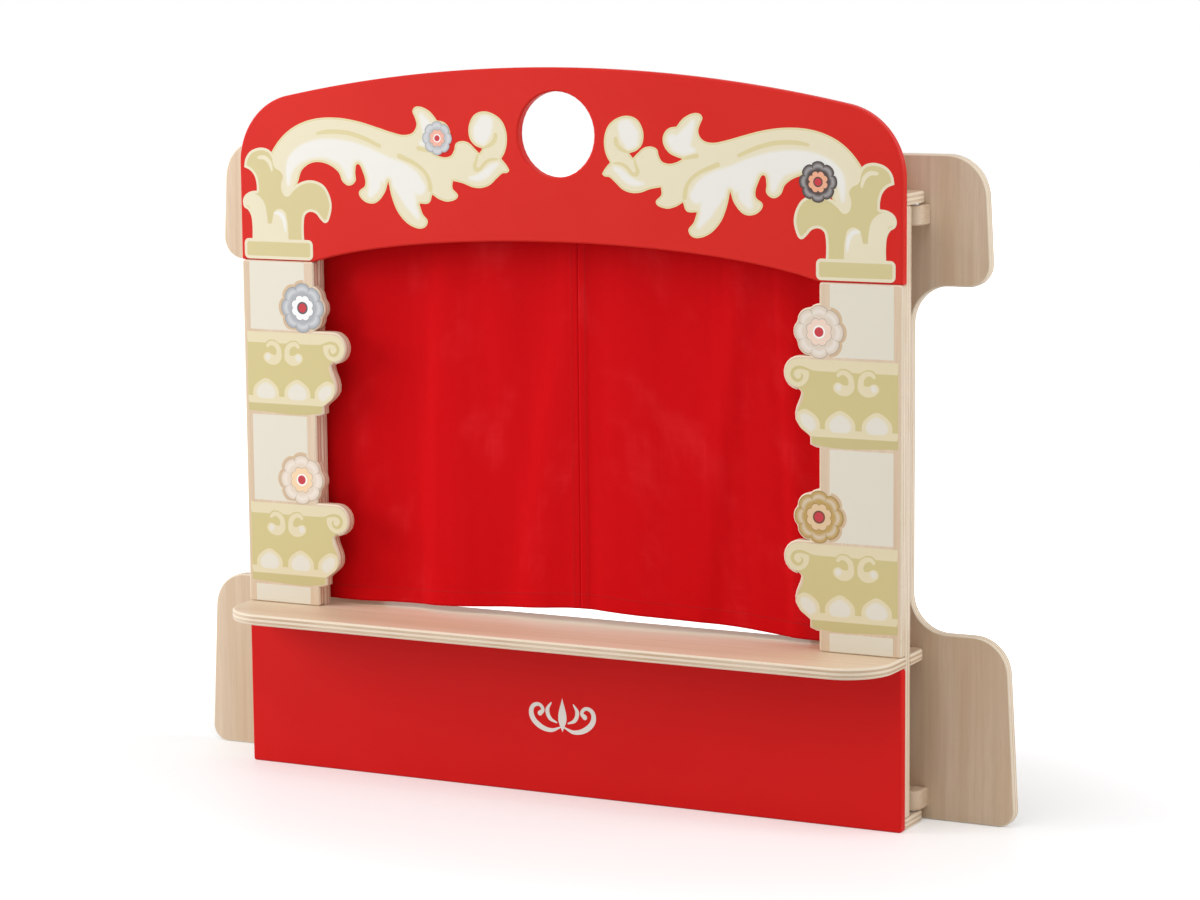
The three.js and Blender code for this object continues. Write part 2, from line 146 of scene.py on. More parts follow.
class TheatreSizes(bpy.types.PropertyGroup):
    """Sizes of what is added to the boards."""

    lattice: length("Print lattice", "Spacing of the points inside a print", 1.5)
    film: length("Ink film", "Thickness of one printed layer", 0.08)
    rim: length("Outer line", "Width of the line round the scroll", 1.1)
    edge_round: length("Edge rounding", "Rounding added to the eased edges of the boards", 0.6)
    cloth_thickness: length("Cloth thickness", "Thickness of the curtain cloth", 0.8)
    pocket_play: length("Pocket play", "Room between the rod and its pocket", 0.6)
    pocket_depth: length("Pocket depth", "Pocket's stitch line below the rod's axis", 19)
    flap_end: length("Flap end", "End of the back flap below the rod's axis", 25)
    fold_depth: length("Fold depth", "Height that the folds' own heights are multiplied by", 1.0)
    ripple_depth: length("Ripple depth", "Height of the slow ripple between the folds", 0.16)
    gather_depth: length("Gather depth", "Height of the small gathers under the rod", 0.22)
    gather_pitch: length("Gather pitch", "Width of one small gather", 15)
    hem_depth: length("Hem depth", "Height of the turned hem", 17)
    side_hem: length("Side hem", "Width of the turned side hems", 9)
    stitch: length("Stitch length", "Pitch of the sewing stitches", 3.2)
    thread_pitch: length("Thread pitch", "Distance between the cloth's threads", 0.55)
    screw_radius: length("Screw head", "Radius of a screw's head", 3.6)


class TheatreStudio(bpy.types.PropertyGroup):
    """Light and camera."""

    key_light: power("Key light", "Soft light at the front left", 54)
    side_light: power("Side light", "Soft light at the right", 37)
    top_light: power("Top light", "Soft light overhead", 27.5)
    room: FloatProperty(name="Room light", description="Even light from all round", default=0.39, min=0)
    floor_glow: FloatProperty(
        name="Floor glow", description="White that the camera sees added to the floor", default=0.31
    )
    lens: FloatProperty(name="Lens", description="Focal length in millimetres", default=107.16)


# Mesh helpers


def new_object(name, points, faces, smooth=False):
    """A mesh object at the origin from an array of points and a list of faces."""
    mesh = bpy.data.meshes.new(name)
    mesh.from_pydata(np.asarray(points, float).tolist(), [], [list(map(int, face)) for face in faces])
    mesh.polygons.foreach_set("use_smooth", np.full(len(mesh.polygons), smooth))
    mesh.update()
    obj = bpy.data.objects.new(name, mesh)
    bpy.context.scene.collection.objects.link(obj)
    return obj


def dress(obj, material, body, slot):
    """Gives a piece its material and its body. The slot is not used."""
    obj.data.materials.append(material)
    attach(obj, body)


def grid_faces(rows, columns, wrap=False):
    """Four-sided faces of a grid of points stored row by row; wrap joins its last column to its first."""
    r, c = np.meshgrid(np.arange(rows - 1), np.arange(columns if wrap else columns - 1), indexing="ij")
    row, above, after = r * columns, (r + 1) * columns, (c + 1) % columns
    return np.stack([row + c, row + after, above + after, above + c], -1).reshape(-1, 4)


def many(points, faces):
    """Copies of one shape as one mesh: points is copies x points x 3, and the faces repeat for each."""
    copies, count = points.shape[:2]
    shifts = np.arange(copies) * count
    return points.reshape(-1, 3), [[i + shift for i in face] for shift in shifts for face in faces]


def unit(vectors):
    """Vectors of length one in the same directions."""
    return vectors / np.maximum(np.linalg.norm(vectors, axis=-1, keepdims=True), 1e-12)


def ease(value, low, high):
    """Nought below low, one above high, and a smooth cubic between."""
    share = np.clip((value - low) / (high - low), 0, 1)
    return share * share * (3 - 2 * share)


# Curves in the plane of the front, in millimetres


def cubics(start, leaving, end, arriving, steps):
    """Points of cubics from start to end with given slopes at their two ends, each without its last point."""
    t = (np.arange(steps) / steps)[:, None, None]
    curve = (
        (2 * t**3 - 3 * t**2 + 1) * start
        + (t**3 - 2 * t**2 + t) * leaving
        + (3 * t**2 - 2 * t**3) * end
        + (t**3 - t**2) * arriving
    )
    return curve.transpose(1, 0, 2).reshape(-1, 2)


def smooth_loop(points, steps=6):
    """A closed curve through given points (x, z), or (x, z, 1) at a corner. Between two points it is
    the cubic whose end slopes point midway between the two sides that meet there, or along its own side at
    a corner, and are as long as the side."""
    start = np.array([p[:2] for p in points], float)
    corner = np.array([len(p) > 2 for p in points])[:, None]
    end = np.roll(start, -1, 0)
    size = np.linalg.norm(end - start, axis=1, keepdims=True)
    ahead = unit(end - start)
    behind = np.roll(ahead, 1, 0)
    middle = unit(ahead + behind)
    leaving = np.where(corner, ahead, middle) * size
    arriving = np.roll(np.where(corner, behind, middle), -1, 0) * size
    return cubics(start, leaving, end, arriving, steps)


def smooth_line(points, radii, steps=6):
    """An open curve through given points, with a half width at each: slopes as in smooth_loop, none
    turned at the ends. Gives the curve's points and their half widths."""
    place = np.array(points, float)
    side = np.diff(place, axis=0)
    size = np.linalg.norm(side, axis=1, keepdims=True)
    ahead = unit(side)
    slope = unit(np.vstack([ahead[:1], ahead[:-1] + ahead[1:], ahead[-1:]]))
    line = np.vstack([cubics(place[:-1], slope[:-1] * size, place[1:], slope[1:] * size, steps), place[-1:]])
    width = np.interp(np.linspace(0, 1, len(line)), np.linspace(0, 1, len(radii)), radii)
    return line, width


def ribbon_loop(points, radii, cap_steps=7):
    """The closed outline of a brush stroke: its centre line moved its half width to either side, with a
    half circle round each end."""
    line, width = smooth_line(points, radii)
    ahead = unit(np.gradient(line, axis=0))
    left = np.stack([-ahead[:, 1], ahead[:, 0]], 1)
    turn = np.linspace(0, math.pi, cap_steps + 2)[1:-1, None]
    far = line[-1] + width[-1] * (left[-1] * np.cos(turn) + ahead[-1] * np.sin(turn))
    near = line[0] - width[0] * (left[0] * np.cos(turn) + ahead[0] * np.sin(turn))
    return np.vstack([line + left * width[:, None], far, (line - left * width[:, None])[::-1], near])


def rounded_rectangle(x0, x1, z0, z1, radius, steps=5):
    """A rectangle's outline with a quarter circle at each corner."""
    left, right, low, high = x0 + radius, x1 - radius, z0 + radius, z1 - radius
    turn = np.linspace(0, math.pi / 2, steps)
    arcs = []
    for quarter, centre in enumerate([(right, high), (left, high), (left, low), (right, low)]):
        angle = turn + quarter * math.pi / 2
        arcs.append(centre + radius * np.stack([np.cos(angle), np.sin(angle)], 1))
    return np.vstack(arcs)


def petal_radius(angle, radius, notch, phase=0.0):
    """A scalloped flower's reach at an angle: the radius less a share that grows from none at a petal's tip
    to notch between two petals, as one minus the root of the cosine of half the petal's turn."""
    lobe = np.sqrt(np.abs(np.cos((angle - phase) * FLOWER_PETALS / 2)))
    return radius * (1 - notch * (1 - lobe))


def flower_loop(x, z, radius, notch, steps=12):
    """A scalloped flower's outline, as points at even turns round its middle."""
    turn = np.linspace(0, 2 * math.pi, FLOWER_PETALS * steps, endpoint=False)
    reach = petal_radius(turn, radius, notch)
    return np.stack([x + reach * np.cos(turn), z + reach * np.sin(turn)], 1)


# Signed distances in that plane, in millimetres, more than none inside a shape


def in_chunks(measure, points, size=3000):
    """A measure of many points, taken on a few thousand of them at a time to save memory."""
    return np.concatenate([measure(part) for part in np.array_split(points, len(points) // size + 1)])


def to_sides(points, start, side):
    """For each point and each straight side: how far along the side the place nearest the point lies, as
    a share, and the distance to that place."""
    across, up = points[:, None, 0] - start[:, 0], points[:, None, 1] - start[:, 1]
    share = np.clip((across * side[:, 0] + up * side[:, 1]) / (side**2).sum(1), 0, 1)
    return share, np.hypot(across - share * side[:, 0], up - share * side[:, 1])


def inside_loops(points, loops):
    """Distance to the nearest side of the loops, negative where a line along X from the point crosses
    their sides an even number of times."""
    start = np.vstack(loops)
    end = np.vstack([np.roll(loop, -1, 0) for loop in loops])
    side = end - start
    rise = np.where(side[:, 1] == 0, 1e-9, side[:, 1])

    def measure(part):
        across, up = part[:, None, 0], part[:, None, 1]
        gap = to_sides(part, start, side)[1].min(1)
        spans = (start[:, 1] > up) != (end[:, 1] > up)
        crossed = spans & (across < start[:, 0] + side[:, 0] * (up - start[:, 1]) / rise)
        return np.where(crossed.sum(1) % 2 == 1, gap, -gap)

    return in_chunks(measure, points)


def on_strokes(points, strokes):
    """The most that a point lies inside any brush stroke: the half width at the nearest place on each step
    of its centre line less the distance to that place."""
    steps = [smooth_line(path, radii) for path, radii in strokes]
    start = np.vstack([line[:-1] for line, _ in steps])
    side = np.vstack([np.diff(line, axis=0) for line, _ in steps])
    width = np.concatenate([w[:-1] for _, w in steps])
    growth = np.concatenate([np.diff(w) for _, w in steps])

    def measure(part):
        share, gap = to_sides(part, start, side)
        return (width + share * growth - gap).max(1)

    return in_chunks(measure, points)


def in_disc(points, x, z, radius):
    """The radius less the distance to the middle."""
    return radius - np.hypot(points[:, 0] - x, points[:, 1] - z)


def in_band(points, z0, z1):
    """The lesser of the heights above z0 and below z1."""
    return np.minimum(points[:, 1] - z0, z1 - points[:, 1])


def in_flower(points, x, z, radius, notch, phase=0.0):
    """The scalloped outline's reach in the point's direction, less the distance to the middle."""
    turn = np.arctan2(points[:, 1] - z, points[:, 0] - x)
    return in_disc(points, x, z, petal_radius(turn, radius, notch, phase))


def nowhere(points):
    """A zone that covers no point."""
    return np.full(len(points), -1.0)


# Shader nodes


def add(tree, kind, inputs=None, **settings):
    """A shader node with its settings. Its inputs are linked from sockets or set to values, and a colour of
    three values gets a full alpha."""
    node = tree.nodes.new("ShaderNode" + kind)
    for key, value in settings.items():
        setattr(node, key, value)
    for key, value in (inputs or {}).items():
        socket = node.inputs[key]
        if isinstance(value, bpy.types.NodeSocket):
            tree.links.new(value, socket)
        else:
            socket.default_value = (*value, 1)[:4] if socket.type == "RGBA" else value
    return node


def link(tree, targets, **sources):
    """Links each source to the target of its name, in which _ stands for a space."""
    for name, source in sources.items():
        tree.links.new(source, targets[name.replace("_", " ")])


def maths(tree, operation, *values):
    return add(tree, "Math", dict(enumerate(values)), operation=operation).outputs[0]


def product(tree, first, second):
    return maths(tree, "MULTIPLY", first, second)


def scaled(tree, value, factor, rest):
    """The value times the factor, plus the rest."""
    return maths(tree, "MULTIPLY_ADD", value, factor, rest)


def mixed(tree, factor, first, second, blend="MIX"):
    """Two colours mixed; a colour is a socket or three linear values."""
    inputs = {0: factor, 6: first, 7: second}
    return add(tree, "Mix", inputs, data_type="RGBA", blend_type=blend).outputs[2]


def tinted(tree, tone, mask, strength, towards):
    """A tone mixed towards another one by a mask times a strength."""
    return mixed(tree, product(tree, mask, strength), tone, towards)


def vector_maths(tree, operation, first, second):
    return add(tree, "VectorMath", {0: first, 1: second}, operation=operation).outputs[0]


def noise(tree, vector, factors, detail=2.0, roughness=0.5, output="Fac"):
    """Noise on a vector whose three parts are multiplied by factors: the larger, the finer."""
    place = vector_maths(tree, "MULTIPLY", vector, factors)
    inputs = {"Vector": place, "Scale": 1.0, "Detail": detail, "Roughness": roughness}
    return add(tree, "TexNoise", inputs).outputs[output]


def ramp(tree, value, low, high):
    """Nought below low, one above high, and smooth between."""
    inputs = {"Value": value, "From Min": low, "From Max": high}
    return add(tree, "MapRange", inputs, interpolation_type="SMOOTHSTEP").outputs[0]


# What a group's colour is where no material sets it
PLAIN = (0.8, 0.8, 0.8)


def shared_group(name, inputs, outputs):
    """A node group with named sockets: an input is a vector, a colour or a number by its first value, and
    an output is a number unless it is named Color. Gives its tree and its inner sockets."""
    tree = bpy.data.node_groups.new(name, "ShaderNodeTree")
    for label, value in inputs.items():
        kind = {type(None): "Vector", tuple: "Color", float: "Float"}[type(value)]
        socket = tree.interface.new_socket(label, in_out="INPUT", socket_type="NodeSocket" + kind)
        if value is not None:
            socket.default_value = (*value, 1) if kind == "Color" else value
    for label in outputs:
        kind = "Color" if label == "Color" else "Float"
        tree.interface.new_socket(label, in_out="OUTPUT", socket_type="NodeSocket" + kind)
    return tree, tree.nodes.new("NodeGroupInput").outputs, tree.nodes.new("NodeGroupOutput").inputs


def placed(tree, name, inputs):
    """One of the shared groups, placed in a material with its own values."""
    return add(tree, "Group", inputs, node_tree=bpy.data.node_groups[name]).outputs


def grain_group():
    """Wood: broad bands, fine fibres and short pores, all long in the grain's direction (X)."""
    tree, given, result = shared_group("Wood grain", {
        "Vector": None, "Face": PLAIN, "Band": PLAIN, "Fibre": PLAIN, "Bands": 0.6, "Fibres": 0.35,
    }, ("Color", "Height"))
    place, fibre = given["Vector"], given["Fibre"]
    wander = noise(tree, place, (3, 7, 7), detail=1, output="Color")
    bent = vector_maths(tree, "ADD", place, vector_maths(tree, "MULTIPLY", wander, (0.004, 0.012, 0.012)))
    bands = ramp(tree, noise(tree, bent, (1.6, 24, 24)), 0.32, 0.7)
    rings = ramp(tree, noise(tree, bent, (2.2, 130, 130), detail=1.5), 0.4, 0.7)
    fibres = noise(tree, bent, (11, 1300, 1300), roughness=0.6)
    pores = ramp(tree, noise(tree, bent, (130, 2600, 2600), detail=1), 0.66, 0.74)
    tone = tinted(tree, given["Face"], bands, given["Bands"], given["Band"])
    tone = tinted(tree, tone, rings, product(tree, given["Bands"], 0.32), fibre)
    tone = tinted(tree, tone, ramp(tree, fibres, 0.4, 0.75), given["Fibres"], fibre)
    tone = tinted(tree, tone, pores, product(tree, given["Fibres"], 0.7), fibre)
    link(tree, result, Color=tone, Height=scaled(tree, pores, -0.8, fibres))


def ply_group():
    """A plywood edge: plies of long and end grain in turn through the board's thickness, with a thin glue
    line between. Edge is one between the two faces and none on them."""
    tree, given, result = shared_group("Ply edge", {
        "Vector": None, "Depth": 0.5, "Plies": 5.0, "Long grain": PLAIN, "End grain": PLAIN,
    }, ("Color", "Edge", "Height"))
    place, end = given["Vector"], given["End grain"]
    waver = maths(tree, "SUBTRACT", noise(tree, place, (9, 9, 9)), 0.5)
    depth = maths(tree, "SUBTRACT", scaled(tree, waver, 0.02, given["Depth"]), 0.5)
    paired = maths(tree, "PINGPONG", product(tree, depth, given["Plies"]), 1.0)
    end_grain = ramp(tree, paired, 0.52, 0.72)
    glue = ramp(tree, maths(tree, "ABSOLUTE", maths(tree, "SUBTRACT", paired, 0.6)), 0.12, 0.04)
    streaks = noise(tree, place, (240, 240, 240), detail=3, roughness=0.7)
    uneven = ramp(tree, noise(tree, place, (16, 16, 16), detail=1), 0.3, 0.7)
    tone = tinted(tree, given["Long grain"], end_grain, scaled(tree, uneven, 0.5, 0.5), end)
    tone = tinted(tree, tone, glue, 0.35, mixed(tree, 0.7, end, (0.1, 0.05, 0.03)))
    tone = tinted(tree, tone, ramp(tree, streaks, 0.5, 0.8), 0.25, end)
    middle = maths(tree, "ABSOLUTE", maths(tree, "SUBTRACT", given["Depth"], 0.5))
    link(tree, result, Color=tone, Edge=ramp(tree, middle, 0.499, 0.494))
    link(tree, result, Height=scaled(tree, end_grain, 0.5, streaks))


def paint_group():
    """Brushed-out satin paint: a tone that drifts slowly and a fine, nearly level orange peel."""
    tree, given, result = shared_group(
        "Satin paint", {"Vector": None, "Paint": PLAIN, "Thin paint": PLAIN}, ("Color", "Roughness", "Height")
    )
    place, thin = given["Vector"], given["Thin paint"]
    drift = noise(tree, place, (5, 5, 5), detail=3)
    fine = noise(tree, place, (420, 420, 420))
    specks = ramp(tree, noise(tree, place, (900, 900, 900), detail=0), 0.7, 0.76)
    tone = tinted(tree, given["Paint"], ramp(tree, drift, 0.3, 0.72), 0.5, thin)
    link(tree, result, Color=tinted(tree, tone, specks, 0.2, thin))
    link(tree, result, Roughness=scaled(tree, drift, 0.12, 0.42), Height=scaled(tree, drift, 0.6, fine))


def weave_group():
    """Plain weave on the cloth's own map: threads of one pitch that pass over and under in turn, each
    thread round across its width, with a painted sheen that lightens single threads in soft clouds."""
    tree, given, result = shared_group(
        "Plain weave", {"Vector": None, "Pitch": 0.0005}, ("Slub", "Crown", "Height")
    )
    place = given["Vector"]
    parts = add(tree, "SeparateXYZ", {0: place}).outputs
    warp, weft = (maths(tree, "DIVIDE", parts[axis], given["Pitch"]) for axis in "XY")
    cell = maths(tree, "ADD", maths(tree, "FLOOR", warp), maths(tree, "FLOOR", weft))
    over = maths(tree, "GREATER_THAN", maths(tree, "FLOORED_MODULO", cell, 2.0), 0.5)
    crown_warp, crown_weft = (
        maths(tree, "SINE", product(tree, maths(tree, "FRACT", threads), math.pi)) for threads in (warp, weft)
    )
    under = product(tree, crown_weft, maths(tree, "SUBTRACT", 1.0, over))
    crown = scaled(tree, crown_warp, over, under)
    # Painted sheen: streaks along single threads, gathered in soft clouds, where the threads catch the light.
    warp_sheen, weft_sheen = (noise(tree, place, way, detail=1) for way in ((900, 14, 1), (14, 900, 1)))
    lean = scaled(tree, parts["Y"], -0.3, parts["X"])
    slanted = add(tree, "CombineXYZ", {0: lean, 1: parts["Y"]}).outputs[0]
    sheen_cloud = ramp(tree, noise(tree, slanted, (13, 8, 1), detail=4, roughness=0.6), 0.35, 0.8)
    slub_sheen = product(tree, maths(tree, "MAXIMUM", warp_sheen, weft_sheen), sheen_cloud)
    link(tree, result, Slub=ramp(tree, slub_sheen, 0.15, 0.6), Crown=crown, Height=scaled(tree, slub_sheen, 0.6, crown))


def ink_group():
    """The edge of an ink zone: none outside it and one inside, over a softness to either side."""
    tree, given, result = shared_group("Ink edge", {"Distance": 0.0, "Softness": 0.1}, ("Mask",))
    low = product(tree, given["Softness"], -1.0)
    link(tree, result, Mask=ramp(tree, given["Distance"], low, given["Softness"]))


# Materials


def principled(name, **constants):
    """A material with one Principled shader, whose constants are set on its own sockets."""
    material = bpy.data.materials.new(name)
    material.use_nodes = True
    tree = material.node_tree
    shader = tree.nodes["Principled BSDF"]
    for key, value in constants.items():
        shader.inputs[key.replace("_", " ")].default_value = value
    return material, tree, shader


def bump(tree, shader, height, distance_mm, strength=1.0):
    node = add(tree, "Bump", {"Height": height, "Distance": distance_mm * MM, "Strength": strength})
    link(tree, shader.inputs, Normal=node.outputs["Normal"])


def object_place(tree, centre=(0, 0, 0), order="XYZ"):
    """Object coordinates measured from centre, with their axes taken in the given order."""
    moved = vector_maths(tree, "SUBTRACT", add(tree, "TexCoord").outputs["Object"], centre)
    if order == "XYZ":
        return moved
    parts = add(tree, "SeparateXYZ", {0: moved})
    ordered = {i: parts.outputs[axis] for i, axis in enumerate(order)}
    return add(tree, "CombineXYZ", ordered).outputs[0]


def board_axes(node):
    """A board's lowest corner, the order of its axes, along its length, across, and through its
    thickness, and that thickness."""
    low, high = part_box(node)
    by_size = sorted(range(3), key=lambda axis: low[axis] - high[axis])
    return low, "".join("XYZ"[axis] for axis in by_size), high[by_size[2]] - low[by_size[2]]


# The boards' plies, and how strong the veneer's bands and fibres show
PLIES = 5.0
WING_BANDS = 0.85
BOARD_BANDS = 0.55
BOARD_FIBRES = 0.32


def birch_board(node, finishes, shift):
    """Birch plywood for one board: veneer on its faces, with the grain along its length, and plies on its
    edges. The shift starts the grain in another place on each board."""
    low, order, thickness = board_axes(node)
    material, tree, shader = principled(f"birch_{node}", Roughness=0.46, Specular_IOR_Level=0.4)
    place = object_place(tree, low, order)
    depth = maths(tree, "DIVIDE", add(tree, "SeparateXYZ", {0: place}).outputs["Z"], thickness)
    moved = vector_maths(tree, "ADD", place, shift)
    veneer = placed(tree, "Wood grain", {
        "Vector": moved, "Face": finishes.birch, "Band": finishes.birch_band, "Fibre": finishes.birch_fibre,
        "Bands": WING_BANDS if node in WINGS else BOARD_BANDS, "Fibres": BOARD_FIBRES,
    })
    edge = placed(tree, "Ply edge", {
        "Vector": moved, "Depth": depth, "Plies": PLIES, "Long grain": finishes.ply_long,
        "End grain": finishes.ply_cross,
    })
    link(tree, shader.inputs, Base_Color=mixed(tree, edge["Edge"], veneer["Color"], edge["Color"]))
    bump(tree, shader, scaled(tree, edge["Height"], edge["Edge"], veneer["Height"]), 0.05)
    return material


def solid_wood(name, finishes, order, shift):
    """Plain sanded beech, with the grain along the first axis of the order."""
    material, tree, shader = principled(name, Roughness=0.5, Specular_IOR_Level=0.35)
    grain = placed(tree, "Wood grain", {
        "Vector": object_place(tree, shift, order), "Face": finishes.beech, "Band": finishes.birch_band,
        "Fibre": finishes.beech_fleck, "Bands": 0.5, "Fibres": 0.6,
    })
    link(tree, shader.inputs, Base_Color=grain["Color"])
    bump(tree, shader, grain["Height"], 0.06)
    return material


def painted(name, full, thin):
    """Satin red paint over a whole board."""
    material, tree, shader = principled(name, Specular_IOR_Level=0.16)
    paint = placed(tree, "Satin paint", {"Vector": object_place(tree), "Paint": full, "Thin paint": thin})
    link(tree, shader.inputs, Base_Color=paint["Color"], Roughness=paint["Roughness"])
    bump(tree, shader, paint["Height"], 0.04)
    return material


def turned_steel(finishes):
    """Bright steel with fine turning marks round the upright axis of the pins."""
    material, tree, shader = principled("turned_steel", Metallic=1.0)
    place = object_place(tree)
    marks = noise(tree, place, (60, 60, 5200))
    smudge = noise(tree, place, (90, 90, 90), detail=3)
    tone = tinted(tree, finishes.steel, marks, 0.4, dimmed(finishes.steel, 0.6))
    link(tree, shader.inputs, Base_Color=tone, Roughness=scaled(tree, smudge, 0.25, 0.2))
    bump(tree, shader, marks, 0.02)
    return material


def cotton(finishes, sizes):
    """Red plain-weave cotton on the cloth's own map, in metres of cloth."""
    material, tree, shader = principled("red_cotton", Roughness=0.8, Specular_IOR_Level=0.06)
    flat = add(tree, "UVMap", uv_map="cloth").outputs[0]
    weave = placed(tree, "Plain weave", {"Vector": flat, "Pitch": sizes.thread_pitch})
    # Painted highlight: the red goes towards the lit threads' colour by the sheen mask; shade here holds that
    # lit red.
    shade = tinted(tree, finishes.cloth, weave["Slub"], 0.5, finishes.cloth_lit_threads)
    # Painted shade: darker red where the threads dip between their crowns.
    tone = mixed(tree, ramp(tree, weave["Crown"], 0.1, 0.8), dimmed(finishes.cloth, 0.62), shade)
    link(tree, shader.inputs, Base_Color=tone)
    bump(tree, shader, weave["Height"], 0.12, 0.6)
    return material


def sewing_thread(finishes):
    """Twisted sewing thread, its twist showing as slanting stripes of painted shade."""
    material, tree, shader = principled("sewing_thread", Roughness=0.6)
    twist = noise(tree, object_place(tree), (2600, 900, 2600), detail=1)
    # Painted shade: darker stripes where the grooves of the twist lie.
    tone = mixed(tree, twist, dimmed(finishes.thread, 0.55), finishes.thread)
    link(tree, shader.inputs, Base_Color=tone)
    bump(tree, shader, twist, 0.08)
    return material


def ink(name, ground, layers):
    """Printed ink: a ground colour, then layers of (zone, colour, softness in millimetres). A zone is the
    point attribute that holds the signed distance to its edge, so the edges stay sharp between points."""
    material, tree, shader = principled(name, Roughness=0.42, Specular_IOR_Level=0.4)
    tone = add(tree, "RGB").outputs[0]
    tone.default_value = (*ground, 1)
    for zone, layer, softness in layers:
        distance = add(tree, "Attribute", attribute_name=zone).outputs["Fac"]
        mask = placed(tree, "Ink edge", {"Distance": distance, "Softness": softness})["Mask"]
        tone = mixed(tree, mask, tone, layer)
    place = object_place(tree)
    mottle = noise(tree, place, (30, 30, 30), detail=3)
    tone = tinted(tree, tone, mottle, 0.1, mixed(tree, 1.0, tone, (0.86, 0.82, 0.76), "MULTIPLY"))
    link(tree, shader.inputs, Base_Color=tone)
    bump(tree, shader, noise(tree, place, (900, 900, 14)), 0.03)
    return material


# Prints

# How near a print's inner points come to its outline, as a share of their spacing
LATTICE_MARGIN = 0.4
# How much of its height over the board a film fills, which keeps its back off the board's face
FILM_SHARE = 0.98


def filled(loops, step):
    """The inside of closed outlines as points and triangles: a square lattice of points inside them is
    joined with the outlines' own points by a Delaunay triangulation that keeps the outlines' sides."""
    outline = np.vstack(loops)
    across, up = (np.arange(low, high, step) for low, high in zip(outline.min(0), outline.max(0)))
    lattice = np.stack(np.meshgrid(across, up), -1).reshape(-1, 2)
    inner = lattice[inside_loops(lattice, loops) > LATTICE_MARGIN * step]
    starts = np.cumsum([0] + [len(loop) for loop in loops])
    rings = [list(range(a, b)) for a, b in zip(starts[:-1], starts[1:])]
    edges = [(i, ring[(k + 1) % len(ring)]) for ring in rings for k, i in enumerate(ring)]
    cut = delaunay_2d_cdt(np.vstack([outline, inner]).tolist(), edges, rings, 1, 1e-4)
    return np.array([tuple(point) for point in cut[0]]), cut[2]


def film(name, loops, zones, material, slot, side=1, layer=1, fit=(1, 1)):
    """A thin closed film of ink on the front, whose points carry their signed distance to the edge of every
    zone, and which gets its thickness towards the board. Places are millimetres for the right side, and
    side -1 mirrors them. A zone is a list of brush strokes, a function of points, or how far its edge lies
    inside the film's outline. A fit below one shrinks the print towards the middle of the stage, and
    towards a level in the capital."""
    sizes = bpy.context.scene.theatre_sizes
    flat, faces = filled(loops, sizes.lattice / MM)
    depth = sizes.film * layer
    level = HEADER_FOOT / MM + FIT_RISE_MM
    height = level + (flat[:, 1] - level) * fit[1]
    points = np.stack([side * flat[:, 0] * fit[0], np.zeros(len(flat)), height], 1) * MM
    points[:, 1] = FRONT_Y - depth
    obj = new_object(name, points, [face[::side] for face in faces])
    edge = inside_loops(flat, loops)
    for zone, place in zones.items():
        if isinstance(place, list):
            values = on_strokes(flat, place)
        else:
            values = place(flat) if callable(place) else edge - place
        attribute = obj.data.attributes.new(zone, "FLOAT", "POINT")
        attribute.data.foreach_set("value", values.astype(np.float32))
    solid = obj.modifiers.new("thickness", "SOLIDIFY")
    solid.thickness = depth * FILM_SHARE
    solid.offset = -1
    dress(obj, material, "root", slot)


def raised(places, foot):
    """Places given from the header's foot, as places from the floor."""
    return [(p[0], p[1] + foot, *p[2:]) for p in places]


def raised_strokes(strokes, foot):
    return [(raised(path, foot), radii) for path, radii in strokes]


# The scroll of acanthus that springs from each capital, for the right side: X from the middle, Z from the
# header's foot, in millimetres. A third value marks a corner.
LEAF_MM = [
    (352, 113), (344, 126.5), (329, 141), (310.5, 150.8), (290, 155.9), (265, 156.8), (240.5, 153.6),
    (216, 147.4), (197, 142.2), (182, 139.8), (171.5, 142.8), (167, 151), (169.2, 159), (171.8, 165.5),
    (169.3, 169.2), (163, 170.3), (152, 166.2), (146, 161), (142, 155.9, 1), (134, 154.4), (128.5, 150),
    (126, 143.8), (127, 136.5), (133, 128.5), (140.7, 124.7), (148.7, 122.4, 1), (142, 118.8), (132.5, 117),
    (125, 119.3), (121.3, 125.5), (119.5, 131.6), (112.5, 134.6), (104, 133.1), (97, 127.5), (91.2, 122, 1),
    (87, 127, 1), (95.5, 130), (101.4, 135.6), (103.8, 144.5), (102.4, 153.5), (96.5, 162.5), (85.5, 166.3),
    (73, 163.6), (63, 156), (58.2, 145), (57.8, 133), (60.5, 123.5), (64.5, 116.9, 1), (57, 108.3),
    (55.4, 104.3), (58.5, 102), (63, 101.6), (70, 96.3), (78.5, 89), (88, 85.6), (99, 85.8), (111, 89.8),
    (123.5, 92.2, 1), (124, 84.5), (117.5, 76), (129, 70), (140, 72), (149, 77, 1), (153, 68), (165, 67, 1),
    (161, 56), (155, 48), (160, 41), (176, 43), (191, 56), (199, 73), (203, 90, 1), (208, 77), (220, 66),
    (234, 68), (240, 77), (232, 85), (235, 100), (241, 107.5), (244, 99), (244, 89), (252, 84), (260, 88),
    (265, 98), (280, 107), (297, 108), (311, 100), (317, 86), (322, 76), (333, 68), (345, 80), (352, 98),
]
LEAF_CHALK_MM = [
    ([(329, 84), (328, 97), (323, 108), (312, 117), (297, 122), (281, 123.5), (265, 121), (250, 118),
      (235, 114.5), (220, 108), (205, 102), (190, 97), (176, 92), (165, 84)],
     (2, 4, 7, 8.5, 9.5, 10.5, 12.5, 13.5, 13, 14, 14, 14.5, 12, 8)),
    ([(262, 116), (254, 104), (252, 94)], (8, 6, 3.5)),
    ([(234, 112), (224, 100), (220, 86), (225, 76)], (9, 9, 7.5, 4)),
    ([(190, 96), (182, 82), (175, 66), (167, 52)], (13, 11, 7, 2)),
    ([(161, 161), (156, 152), (150, 142), (146, 136)], (2.5, 5.5, 9, 10)),
    ([(137, 142), (146, 135), (162, 131)], (6, 9, 2)),
    ([(83, 154), (87, 146), (89, 138)], (9, 11, 8)),
    ([(69.7, 111), (75.7, 107.5), (81.3, 102.5), (88, 98), (95, 95.8), (103, 95.5)],
     (2, 3.6, 4.4, 4.3, 3.2, 1.4)),
]
